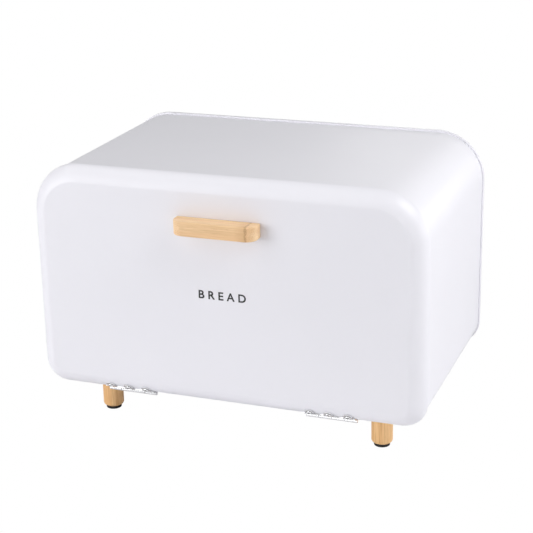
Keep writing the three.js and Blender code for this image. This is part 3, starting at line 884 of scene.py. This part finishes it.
def square_loop(centre, half, counts):
    """Points round a rectangle, anticlockwise from its lower right corner: counts[0] steps up each
    upright side and counts[1] steps along the others."""
    cx, cz = centre
    w, h = half
    up = np.linspace(-1, 1, counts[0] + 1)[:-1]
    along = np.linspace(1, -1, counts[1] + 1)[:-1]
    sides = [
        np.stack([np.full_like(up, w), up * h], 1),
        np.stack([along * w, np.full_like(along, h)], 1),
        np.stack([np.full_like(up, -w), -up * h], 1),
        np.stack([-along * w, np.full_like(along, -h)], 1),
    ]
    return np.concatenate(sides) + (cx, cz)


class BREADBOX_OT_back_panel(bpy.types.Operator):
    """Make the back panel with its folded rim and its row of air holes"""

    bl_idname = "breadbox.back_panel"
    bl_label = "Back Panel"

    def execute(self, context):
        shape = context.scene.breadbox_shape
        halves = (12, 20)
        outline = box_outline(shape, *outline_box(BACK_LOW, BACK_HIGH), steps=halves)
        front, rear = BACK_LOW.y, BACK_HIGH.y
        wall, edge, sheet, lip_round = shape.rim_wall, shape.rim_edge, shape.sheet, shape.lip_round
        channel = BODY_INSET + sheet + shape.rim_room
        inner = channel + wall
        fine = 0.0003  # radius of the rim's inner rear edge
        hem, hem_end = front + 0.0006, front + 0.0014  # where the hemmed lip starts to thin and ends
        rim = np.concatenate(
            [
                [(inner, front + sheet), (inner, rear - fine)],
                arc((inner - fine, rear - fine), fine, 0, pi / 2, 3),
                arc((edge, rear - edge), edge, pi / 2, pi, 6),
                arc((lip_round, front + lip_round), lip_round, pi, 3 * pi / 2, 6),
                [(shape.rim_lip, front), (shape.rim_lip, hem), (wall, hem_end)],
                [(wall, rear - wall), (channel, rear - wall), (channel, front)],
            ]
        )
        ring = carried(outline, rim)
        # Both faces of the plate start from the rim's end rows.
        holes = shape.vents
        pitch = shape.vent_pitch
        z = BACK_HIGH.z - shape.vent_below_top
        half = (pitch / 2, pitch / 2)
        up, along = COLUMNS_UP, COLUMNS_ALONG // holes
        band = square_loop((0, z), (holes * half[0], half[1]), (up, along * holes))
        # The outline starts one step above the lower right corner, and the rectangle starts at its corner.
        middle_row = np.roll(band, -(halves[0] + 1), axis=0)
        shells = []
        loops = []
        for y, source in ((front + sheet, ring[0]), (front, ring[-1])):
            flat = source[:, (0, 2)]
            rows = np.stack([flat + (middle_row - flat) * t for t in (0, 0.5, 1)])
            loops.append(np.stack([rows[..., 0], np.full(rows.shape[:2], y), rows[..., 1]], axis=2))
        body = np.concatenate([loops[0][::-1][:-1], ring, loops[1][1:]])
        shells.append(tube(body))
        for i in range(holes):
            centre = ((i - (holes - 1) / 2) * pitch, z)
            square = square_loop(centre, half, (up, along))
            away = square - centre
            circle = centre + away / np.linalg.norm(away, axis=1, keepdims=True) * shape.vent_radius
            rows = [square, circle]
            grid = [np.stack([row[:, 0], np.full(len(row), front + sheet), row[:, 1]], 1) for row in rows]
            grid += [np.stack([row[:, 0], np.full(len(row), front), row[:, 1]], 1) for row in rows[::-1]]
            shells.append(tube(np.stack(grid)))
        panel = piece_from("coated_back", shells, white_coat())
        declare(panel, "box", "white_coat", "back_panel")
        return {"FINISHED"}


# ---- wooden pieces ----


class BREADBOX_OT_handle(bpy.types.Operator):
    """Make the bamboo bar"""

    bl_idname = "breadbox.handle"
    bl_label = "Handle"

    def execute(self, context):
        settings = context.scene.breadbox_handle
        low, high = HANDLE_LOW, HANDLE_HIGH
        ends, back, edge = settings.end_radius, settings.back_radius, settings.edge

        def plan(inset):
            """The bar's outline seen from above, drawn in by this inset."""
            x0, y0, x1, y1 = low.x + inset, low.y + inset, high.x - inset, high.y - inset
            radii = [max(r - inset, POLE) for r in (ends, ends, back, back)]
            corners = [(x0, y0), (x1, y0), (x1, y1), (x0, y1)]
            return rounded_path(corners, radii, steps=14, closed=True, guard=GUARD)

        quarter_turn = np.linspace(0, pi / 2, 7)
        lower = [(edge * (1 - sin(t)), low.z + edge * (1 - cos(t))) for t in quarter_turn]
        lower.append((0, low.z + edge + GUARD))
        upper = [(inset, high.z + low.z - height) for inset, height in lower[::-1]]
        inside_edge = edge + 0.0005
        levels = [(inside_edge, low.z), *lower, *upper, (inside_edge, high.z)]
        grid = np.stack([np.insert(plan(inset), 2, z, axis=1) for inset, z in levels])
        look, place = context.scene.breadbox_bamboo, settings.node_place
        material = bamboo_material("bamboo_lengthwise", look, node_place=place)
        bar = piece_from("bamboo_handle", [capped(grid)], material)
        declare(bar, "door", "bamboo", "handle")
        return {"FINISHED"}


class BREADBOX_OT_legs(bpy.types.Operator):
    """Make the four bamboo legs and their rubber pads"""

    bl_idname = "breadbox.legs"
    bl_label = "Legs"

    def execute(self, context):
        settings = context.scene.breadbox_legs
        leg_rounds = (settings.foot_round, settings.top_round)
        pad_rounds = (settings.pad_round, settings.pad_round / 2)
        for end in ENDS:
            for side in SIDES:
                corner = end + "_" + side
                leg_node, pad_node = "leg_" + corner, "foot_pad_" + corner
                leg = self.dowel("bamboo_" + leg_node, leg_node, leg_rounds, leg_bamboo(), GUARD)
                declare(leg, "box", "bamboo", leg_node)
                pad = self.dowel("rubber_pad_" + corner, pad_node, pad_rounds, matt("black_rubber"))
                declare(pad, "box", "black_rubber", pad_node)
        return {"FINISHED"}

    def dowel(self, name, node, rounds, material, guard=0.0):
        """A round piece as wide and as tall as the node, whose lower and upper edges have these radii."""
        low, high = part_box(node)
        radius, tall = (high.x - low.x) / 2, high.z - low.z
        corners = [(POLE, 0), (radius, 0), (radius, tall), (POLE, tall)]
        path = rounded_path(corners, [0, *rounds, 0], steps=10, guard=guard)
        centre = ((low.x + high.x) / 2, (low.y + high.y) / 2, low.z)
        shell = capped(placed(turned(path, 72), move=centre))
        return piece_from(name, [shell], material)


# ---- hinges ----


def ear_edge(shape, half):
    """The far edge of a leaf as distance across and reach from the pin, from one end to the other: a
    straight edge with three round-ended ears, each with a small hollow at both sides of its root. The
    second list holds the place across at the leaf's near edge that each point is joined to."""
    radius, root, strip, reach = shape.ear_radius, shape.ear_root, shape.strip, shape.ear_reach
    far, near = [[(-half, strip)]], [[-half]]
    for ear in EARS:
        middle = ear * shape.ear_pitch
        hollow = arc((middle - radius - root, strip + root), root, -pi / 2, 0, 5)
        tip = arc((middle, reach), radius, pi, 0, 22)
        back = hollow[::-1] * (-1, 1) + (2 * middle, 0)
        far.append(np.concatenate([hollow, tip, back]))
        near.append(np.linspace(middle - radius - root, middle + radius + root, len(far[-1])))
    far.append([(half, strip)])
    near.append([half])
    return np.concatenate(far), np.concatenate(near)


def leaf_shell(shape, bend, rows=14):
    """One leaf as a closed shell: straight lines run from its near edge to its far edge, and bend gives
    the place in space of a point at this distance across, this reach from the pin and this share through
    the sheet."""
    far, near = ear_edge(shape, (PIN_HIGH.x - PIN_LOW.x) / 2)
    t = np.linspace(0, 1, rows)[:, None]
    across = (1 - t) * near + t * far[:, 0]
    reach = (1 - t) * shape.near_reach + t * far[:, 1]
    # Round the sheet: over one face, down the far edge, back along the other face and up at the near edge.
    grid = np.concatenate([bend(across, reach, 1.0), bend(across, reach, 0.0)[::-1]])
    all_rows, columns = grid.shape[:2]
    faces = sheet_faces(all_rows, columns, wrap_rows=True, wrap_columns=False)
    for column in (0, columns - 1):
        ring = [row * columns + column for row in range(all_rows)]
        faces += [[ring[i], ring[i + 1], ring[-2 - i], ring[-1 - i]] for i in range(rows - 1)]
    return grid.reshape(-1, 3), faces


def thickened(path, thickness):
    """A closed outline round a path: the path moved half the thickness to one side, and back along the
    other side."""
    path = np.asarray(path, float)
    forward = np.gradient(path, axis=0)
    forward /= np.linalg.norm(forward, axis=1, keepdims=True)
    side = np.stack([-forward[:, 1], forward[:, 0]], axis=1) * thickness / 2
    return np.concatenate([path + side, (path - side)[::-1]])


def curl_outline(shape, start):
    """The section of a leaf's tongue and knuckle about the pin, for a leaf that comes from the left:
    straight from start to where that line touches a circle about the pin, and on round the circle until
    it nearly meets itself."""
    middle = shape.knuckle_radius - shape.leaf / 2
    away = np.hypot(*start)
    touch = atan2(start[1], start[0]) - np.arccos(middle / away)
    meet = middle * np.array([cos(touch), sin(touch)])
    run = np.linspace(0, 1, 8)[:-1, None]
    line = np.asarray(start) + (meet - start) * run
    roll = arc((0, 0), middle, touch, radians(-220), 56)
    return thickened(np.concatenate([line, roll]), shape.leaf)


def along_x(outline, x0, x1, ease=0.00012):
    """A closed outline in the y-z plane drawn out along x, with both ends eased by drawing the outline in
    a little along its own normals."""
    forward = np.roll(outline, -1, axis=0) - np.roll(outline, 1, axis=0)
    forward /= np.linalg.norm(forward, axis=1, keepdims=True)
    after = np.roll(outline, -1, axis=0)
    area = np.sum(outline[:, 0] * after[:, 1] - outline[:, 1] * after[:, 0])
    inward = np.stack([-forward[:, 1], forward[:, 0]], axis=1) * np.sign(area)
    near_end = ((x0, ease), (x0 + ease, 0), (x0 + 2 * ease, 0))
    far_end = ((x1 - 2 * ease, 0), (x1 - ease, 0), (x1, ease))
    return np.stack([np.insert(outline + inward * inset, 0, x, axis=1) for x, inset in near_end + far_end])


class BREADBOX_OT_hinges(bpy.types.Operator):
    """Make the two hinges: leaves with rolled knuckles, pins and hollow rivets"""

    bl_idname = "breadbox.hinges"
    bl_label = "Hinges"

    def execute(self, context):
        shape = context.scene.breadbox_hinge
        for side in SIDES:
            low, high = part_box("hinge_pin_" + side)
            middle = (low.x + high.x) / 2
            for owner in LEAF_BODIES:
                self.add_leaf(shape, side, middle, owner)
            self.add_pin(side, low, high)
            self.add_rivets(shape, side, middle)
        return {"FINISHED"}

    def bend_for(self, shape, middle, owner):
        """How a leaf lies: the door's follows the round edge of the door, and the body's steps up to the
        floor."""
        leaf_top = FLOOR_OF_BOX + BODY_INSET - shape.play
        barrel_top = PIN_Z + shape.knuckle_radius
        level_until, rise_over = 0.001, 0.0026

        def round_door(across, reach, through):
            """The place this far round the door's edge, moved out by the play and a share of the leaf."""
            place, outward = door_edge_place(bpy.context.scene.breadbox_shape, reach)
            away = place + outward * (shape.play + through * shape.leaf)
            return np.stack([across + middle, away[..., 0], away[..., 1]], axis=-1)

        def under_floor(across, reach, through):
            """Level, then up to the floor by 3 s squared less 2 s cubed of the step s, and level again."""
            step = np.clip((reach - level_until) / rise_over, 0, 1)
            step = step * step * (3 - 2 * step)
            top = barrel_top + (leaf_top - barrel_top) * step
            return np.stack([across + middle, PIN_Y + reach, top - through * shape.leaf], axis=-1)

        return round_door if owner == "door" else under_floor

    def add_leaf(self, shape, side, middle, owner):
        """A leaf and the knuckles rolled from it: every second one of the barrel's knuckles."""
        parity = 0 if owner == "door" else 1
        toward = -1 if owner == "door" else 1
        bend = self.bend_for(shape, middle, owner)
        shells = [leaf_shell(shape, bend)]
        root = bend(np.array(0.0), np.array(shape.near_reach + 0.0001), 0.5)
        start = (-abs(root[1] - PIN_Y), root[2] - PIN_Z)
        section = curl_outline(shape, start) * (-toward, 1)
        pitch = (PIN_HIGH.x - PIN_LOW.x) / shape.knuckles
        half = (pitch - shape.knuckle_gap) / 2
        for i in range(parity, shape.knuckles, 2):
            x = middle + (i - (shape.knuckles - 1) / 2) * pitch
            grid = placed(along_x(section, x - half, x + half), move=(0, PIN_Y, PIN_Z))
            shells.append(capped(grid))
        name = "hinge_" + owner + "_leaf_" + side
        leaf = piece_from("plated_" + name, shells, plated("chrome_plate"))
        declare(leaf, LEAF_BODIES[owner], "chrome", name)

    def add_pin(self, side, low, high):
        """A pin: a rod with eased ends, turned to lie along x."""
        radius, reach = (high.z - low.z) / 2, high.x - low.x
        ease = 0.0003
        corners = [(POLE / 2, 0), (radius, 0), (radius, reach), (POLE / 2, reach)]
        path = rounded_path(corners, [0, ease, ease, 0], steps=4)
        turn = Matrix.Rotation(pi / 2, 3, "Y")
        grid = placed(turned(path, 32), turn, (low.x, PIN_Y, PIN_Z))
        pin = piece_from("plated_pin_" + side, [capped(grid)], plated("chrome_plate"))
        declare(pin, "box", "chrome", "hinge_pin_" + side)

    def rivet(self, shape, grip):
        """A hollow rivet pointing up: a domed head whose edge rolls into the hole, a shank and a set
        end."""
        head, height, hole = shape.head_radius, shape.head_height, shape.hole_radius
        shank, tail = shape.shank_radius, shape.tail_radius
        bottom = -grip - shape.tail_height
        floor = height - shape.hole_depth
        roll = 0.0002  # radius where the head rolls into the hole
        t = np.linspace(0, pi / 2, 9)
        dome = np.stack([head - (head - hole - roll) * (1 - np.cos(t)), height * np.sin(t)], 1)
        set_end = [(tail * 0.5, bottom), (tail, bottom), (tail, -grip)]
        outside = np.concatenate(
            [
                [(POLE / 2, bottom)],
                rounded_path(set_end, [0, shape.tail_height * 0.6, 0], steps=4),
                [(shank, -grip), (shank, 0), (head - 0.0001, 0)],
                dome,
                arc((hole + roll, height - roll), roll, pi / 2, pi, 4),
                [(hole, floor), (POLE / 2, floor)],
            ]
        )
        return turned(outside, 40)

    def add_rivets(self, shape, side, middle):
        """The rivets of both leaves. The door's stand square to its round edge, and the body's head down."""
        sheet = bpy.context.scene.breadbox_shape.sheet
        grip = 3 * shape.play + shape.leaf + sheet
        place, outward = door_edge_place(bpy.context.scene.breadbox_shape, np.array(shape.ear_reach))
        seat_on_door = place + outward * (2 * shape.play + shape.leaf)
        for owner in LEAF_BODIES:
            shells = []
            for ear in EARS:
                x = middle + ear * shape.ear_pitch
                if owner == "door":
                    turn = Matrix.Rotation(atan2(-outward[0], outward[1]), 3, "X")
                    grid = placed(self.rivet(shape, grip + shape.sag), turn, (x, *seat_on_door))
                else:
                    turn = Matrix.Rotation(pi, 3, "X")
                    seat = FLOOR_OF_BOX + BODY_INSET - 2 * shape.play - shape.leaf
                    grid = placed(self.rivet(shape, grip), turn, (x, PIN_Y + shape.ear_reach, seat))
                vertices, faces = capped(grid)
                # The bore is the last two rows of faces and the last cap. The other cap is the set end's.
                in_shaded_bore = np.arange(len(faces)) >= (len(grid) - 3) * grid.shape[1]
                in_shaded_bore[-2] = False
                shells.append((vertices, faces, in_shaded_bore))
            nodes = ["hinge_" + owner + "_rivet_" + side + "_" + str(i + 1) for i in range(len(EARS))]
            name = "plated_" + owner + "_rivets_" + side
            # The bore's faces get a near-black finish, which is painted shade in the rivet's hole.
            rivets = piece_from(name, shells, plated("chrome_plate"), inner=matt("bore_painted_shade"))
            declare(rivets, LEAF_BODIES[owner], "chrome", *nodes)


# ---- screws, washers and catches ----


class BREADBOX_OT_screws(bpy.types.Operator):
    """Make the screws and washers that hold the legs and the handle"""

    bl_idname = "breadbox.screws"
    bl_label = "Screws"

    def execute(self, context):
        for end in ENDS:
            for side in SIDES:
                self.add_pair("leg", end + "_" + side, "box")
        for side in SIDES:
            self.add_pair("handle", side, "door")
        return {"FINISHED"}

    def add_pair(self, what, name, body):
        """A screw and its washer: a leg's stand along z and a handle's along y."""
        screw_node, washer_node = what + "_screw_" + name, what + "_washer_" + name
        screw_low, screw_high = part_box(screw_node)
        washer_low, washer_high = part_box(washer_node)
        axis = 2 if what == "leg" else 1
        turn = Matrix.Identity(3) if what == "leg" else Matrix.Rotation(-pi / 2, 3, "X")
        seat = washer_high[axis]
        place = (screw_low + screw_high) / 2
        place[axis] = seat
        washer_place = place.copy()
        washer_place[axis] = washer_low[axis]
        reach, tall = seat - screw_low[axis], screw_high[axis] - seat
        head = (screw_high.x - screw_low.x) / 2
        shank = head / 2
        shells = self.screw_shells(shank, reach, head, tall, turn, place)
        screw = piece_from("zinc_" + screw_node, shells, plated("zinc_plate"))
        declare(screw, body, "zinc_steel", screw_node)
        room = 0.0003
        inner, outer = shank + room, (washer_high.x - washer_low.x) / 2
        thick = seat - washer_low[axis]
        corners = [(inner, 0), (outer, 0), (outer, thick), (inner, thick)]
        ring = rounded_path(corners, [0.0001, 0.0001, 0.0002, 0.0002], steps=3, closed=True)
        grid = placed(turned(ring, 56), turn, washer_place)
        washer = piece_from("zinc_" + washer_node, [tube(grid, wrap_rows=True)], plated("zinc_plate"))
        declare(washer, body, "zinc_steel", washer_node)

    def screw_shells(self, shank, reach, head, tall, turn, place):
        """A pan-head screw pointing down: a shank whose radius follows a helical thread, and a domed head
        whose height drops inside a cross of two slots."""
        steps = 48
        angle = np.arange(steps) * tau / steps
        thread_pitch = shank * 0.8
        along = np.linspace(0, 1, 120)[:, None]
        depth = -reach + along * reach
        taper = np.clip((depth + reach) / (3 * shank), 0.05, 1)
        ridge = (((depth / thread_pitch - angle / tau) % 1) - 0.5) ** 2 * 4
        radius = shank * taper * (0.72 + 0.28 * (1 - ridge))
        level = np.broadcast_to(depth, radius.shape)
        shaft = np.stack([radius * np.cos(angle), radius * np.sin(angle), level], axis=2)
        slot_width, slot_reach, slot_depth = 0.17 * head, 0.55 * head, 0.6 * tall
        cap_radius = head * np.concatenate([[1.0], np.linspace(1, 0.02, 40)])[:, None]
        dome = tall * (0.25 + 0.75 * np.sqrt(np.clip(1 - (cap_radius / head) ** 2, 0, 1)))
        dome[0] = 0
        x, y = cap_radius * np.cos(angle), cap_radius * np.sin(angle)

        def soft(value, limit):
            """1 inside the limit on both sides of 0, and 0 outside it, with a soft change between them."""
            return np.clip((limit - np.abs(value)) / (0.08 * head) + 0.5, 0, 1)

        upright = soft(x, slot_width) * soft(y, slot_reach)
        level = soft(y, slot_width) * soft(x, slot_reach)
        height = dome - np.maximum(upright, level) * slot_depth
        height[0] = 0
        cap = np.stack([x, y, height], axis=2)
        return [capped(placed(grid, turn, place)) for grid in (shaft, cap)]


class BREADBOX_OT_catches(bpy.types.Operator):
    """Make the magnet catches: plastic cups in the body's mouth and the magnets in them"""

    bl_idname = "breadbox.catches"
    bl_label = "Magnet Catches"

    def execute(self, context):
        for side in SIDES:
            self.add_cup(side)
            self.add_magnet(side)
        return {"FINISHED"}

    def add_cup(self, side):
        """A magnet's cup: a barrel with a thin collar and a pocket, as one profile turned about y."""
        low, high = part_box("magnet_cup_" + side)
        magnet_low, magnet_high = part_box("magnet_" + side)
        collar = (high.x - low.x) / 2
        deep = high.y - low.y
        room = 0.0003
        pocket = (magnet_high.x - magnet_low.x) / 2 + room
        pocket_deep = magnet_high.y - low.y + room
        barrel, lip, ease = collar - 0.0008, 0.0004, 0.0003
        bottom = [(barrel / 2, -deep), (barrel, -deep), (barrel, -lip)]
        rim = [(collar - 0.0001, -lip), (collar, -lip), (collar, 0), (pocket + ease + 0.0001, 0)]
        path = np.concatenate(
            [
                [(POLE, -deep)],
                rounded_path(bottom, [0, 0.0006, 0], steps=5),
                rounded_path(rim, [0, 0.00008, ease, 0], steps=4),
                arc((pocket + ease, -ease), ease, pi / 2, pi, 4),
                [(pocket, -pocket_deep), (POLE, -pocket_deep)],
            ]
        )
        turn = Matrix.Rotation(pi / 2, 3, "X")
        grid = placed(turned(path, 56), turn, ((low.x + high.x) / 2, low.y, (low.z + high.z) / 2))
        cup = piece_from("plastic_magnet_cup_" + side, [capped(grid)], matt("white_plastic"))
        declare(cup, "box", "white_plastic", "magnet_cup_" + side)

    def add_magnet(self, side):
        """A magnet: a short cylinder with eased edges, turned about y."""
        low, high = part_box("magnet_" + side)
        radius, thick = (high.x - low.x) / 2, high.y - low.y
        ease = 0.0003
        corners = [(POLE, -thick), (radius, -thick), (radius, 0), (POLE, 0)]
        path = rounded_path(corners, [0, ease, ease, 0], steps=4)
        turn = Matrix.Rotation(pi / 2, 3, "X")
        grid = placed(turned(path, 48), turn, ((low.x + high.x) / 2, low.y, (low.z + high.z) / 2))
        magnet = piece_from("nickel_magnet_" + side, [capped(grid)], plated("nickel_plate"))
        declare(magnet, "box", "nickel", "magnet_" + side)


# ---- print ----


class BREADBOX_OT_print(bpy.types.Operator):
    """Make the word printed on the door"""

    bl_idname = "breadbox.print"
    bl_label = "Printed Word"

    def execute(self, context):
        settings = context.scene.breadbox_print
        curve = bpy.data.curves.new("printed_word", "FONT")
        curve.body = settings.word
        curve.align_x, curve.align_y = "CENTER", "CENTER"
        curve.space_character = settings.spacing
        curve.resolution_u = 8
        curve.extrude = settings.film / 2
        text = bpy.data.objects.new("printed_text", curve)
        context.scene.collection.objects.link(text)
        context.view_layer.update()
        mesh = bpy.data.meshes.new_from_object(text)
        bpy.data.objects.remove(text)
        bpy.data.curves.remove(curve)
        points = points_of(mesh)
        middle = (points.min(0) + points.max(0)) / 2
        size = (settings.capital - 2 * settings.weight) / np.ptp(points[:, 1])
        flat = (points - middle) * (size, size, 1)
        height = FLOOR_OF_BOX + settings.above_floor
        depth = FACE_Y - settings.lift - settings.film / 2
        where = np.stack([flat[:, 0] + settings.centre_x, depth - flat[:, 2], flat[:, 1] + height], axis=1)
        mesh.vertices.foreach_set("co", where.ravel())
        join_up(mesh)
        self.thicken(mesh, settings.weight)
        mesh.materials.clear()
        mesh.materials.append(matt_material("black_ink", settings.ink, 0.5, 1500.0, 0.00001))
        word = bpy.data.objects.new("printed_word", mesh)
        context.scene.collection.objects.link(word)
        declare(word, "door", "black_print")
        return {"FINISHED"}

    def thicken(self, mesh, weight):
        """Moves each point by the weight along the part of its normal that lies in the door's plane.
        Sharp outer corners go further, by the ratio of that part to the part that faces away from the
        door."""
        normals = np.zeros((len(mesh.vertices), 3))
        mesh.vertex_normals.foreach_get("vector", normals.ravel())
        in_plane = normals * (1, 0, 1)
        size = np.linalg.norm(in_plane, axis=1, keepdims=True)
        further = np.clip(size / np.abs(normals[:, 1:2]), 1, sqrt(2))
        moved = points_of(mesh) + in_plane / size * further * weight
        mesh.vertices.foreach_set("co", moved.ravel())
        mesh.update()


# ---- panel and registration ----

OPERATORS = (
    BREADBOX_OT_stage,
    BREADBOX_OT_body_wrap,
    BREADBOX_OT_back_panel,
    BREADBOX_OT_door_panel,
    BREADBOX_OT_handle,
    BREADBOX_OT_legs,
    BREADBOX_OT_hinges,
    BREADBOX_OT_screws,
    BREADBOX_OT_catches,
    BREADBOX_OT_print,
)

SETTINGS = {
    "breadbox_shape": BoxShape,
    "breadbox_coat": CoatLook,
    "breadbox_bamboo": BambooLook,
    "breadbox_handle": HandleShape,
    "breadbox_legs": LegShape,
    "breadbox_hinge": HingeShape,
    "breadbox_print": PrintShape,
    "breadbox_stage": StageLook,
}


class BREADBOX_PT_build(bpy.types.Panel):
    """Lists the steps that make the bread box"""

    bl_idname = "BREADBOX_PT_build"
    bl_label = "Bread Box"
    bl_space_type = "VIEW_3D"
    bl_region_type = "UI"
    bl_category = "Bread Box"

    def draw(self, context):
        for operator in OPERATORS:
            self.layout.operator(operator.bl_idname)
        for name, group in SETTINGS.items():
            box = self.layout.box()
            box.label(text=group.__doc__)
            for key in group.__annotations__:
                box.prop(getattr(context.scene, name), key)


def register():
    """Registers the settings, the operators and the panel."""
    for name, group in SETTINGS.items():
        bpy.utils.register_class(group)
        setattr(bpy.types.Scene, name, PointerProperty(type=group))
    for operator in OPERATORS:
        bpy.utils.register_class(operator)
    bpy.utils.register_class(BREADBOX_PT_build)


def unregister():
    """Takes the panel, the operators and the settings away again."""
    bpy.utils.unregister_class(BREADBOX_PT_build)
    for operator in reversed(OPERATORS):
        bpy.utils.unregister_class(operator)
    for name, group in reversed(SETTINGS.items()):
        delattr(bpy.types.Scene, name)
        bpy.utils.unregister_class(group)


def main():
    """Makes the whole scene, one operator after another."""
    register()
    for operator in OPERATORS:
        group, name = operator.bl_idname.split(".")
        getattr(getattr(bpy.ops, group), name)()


if __name__ == "__main__":
    main()
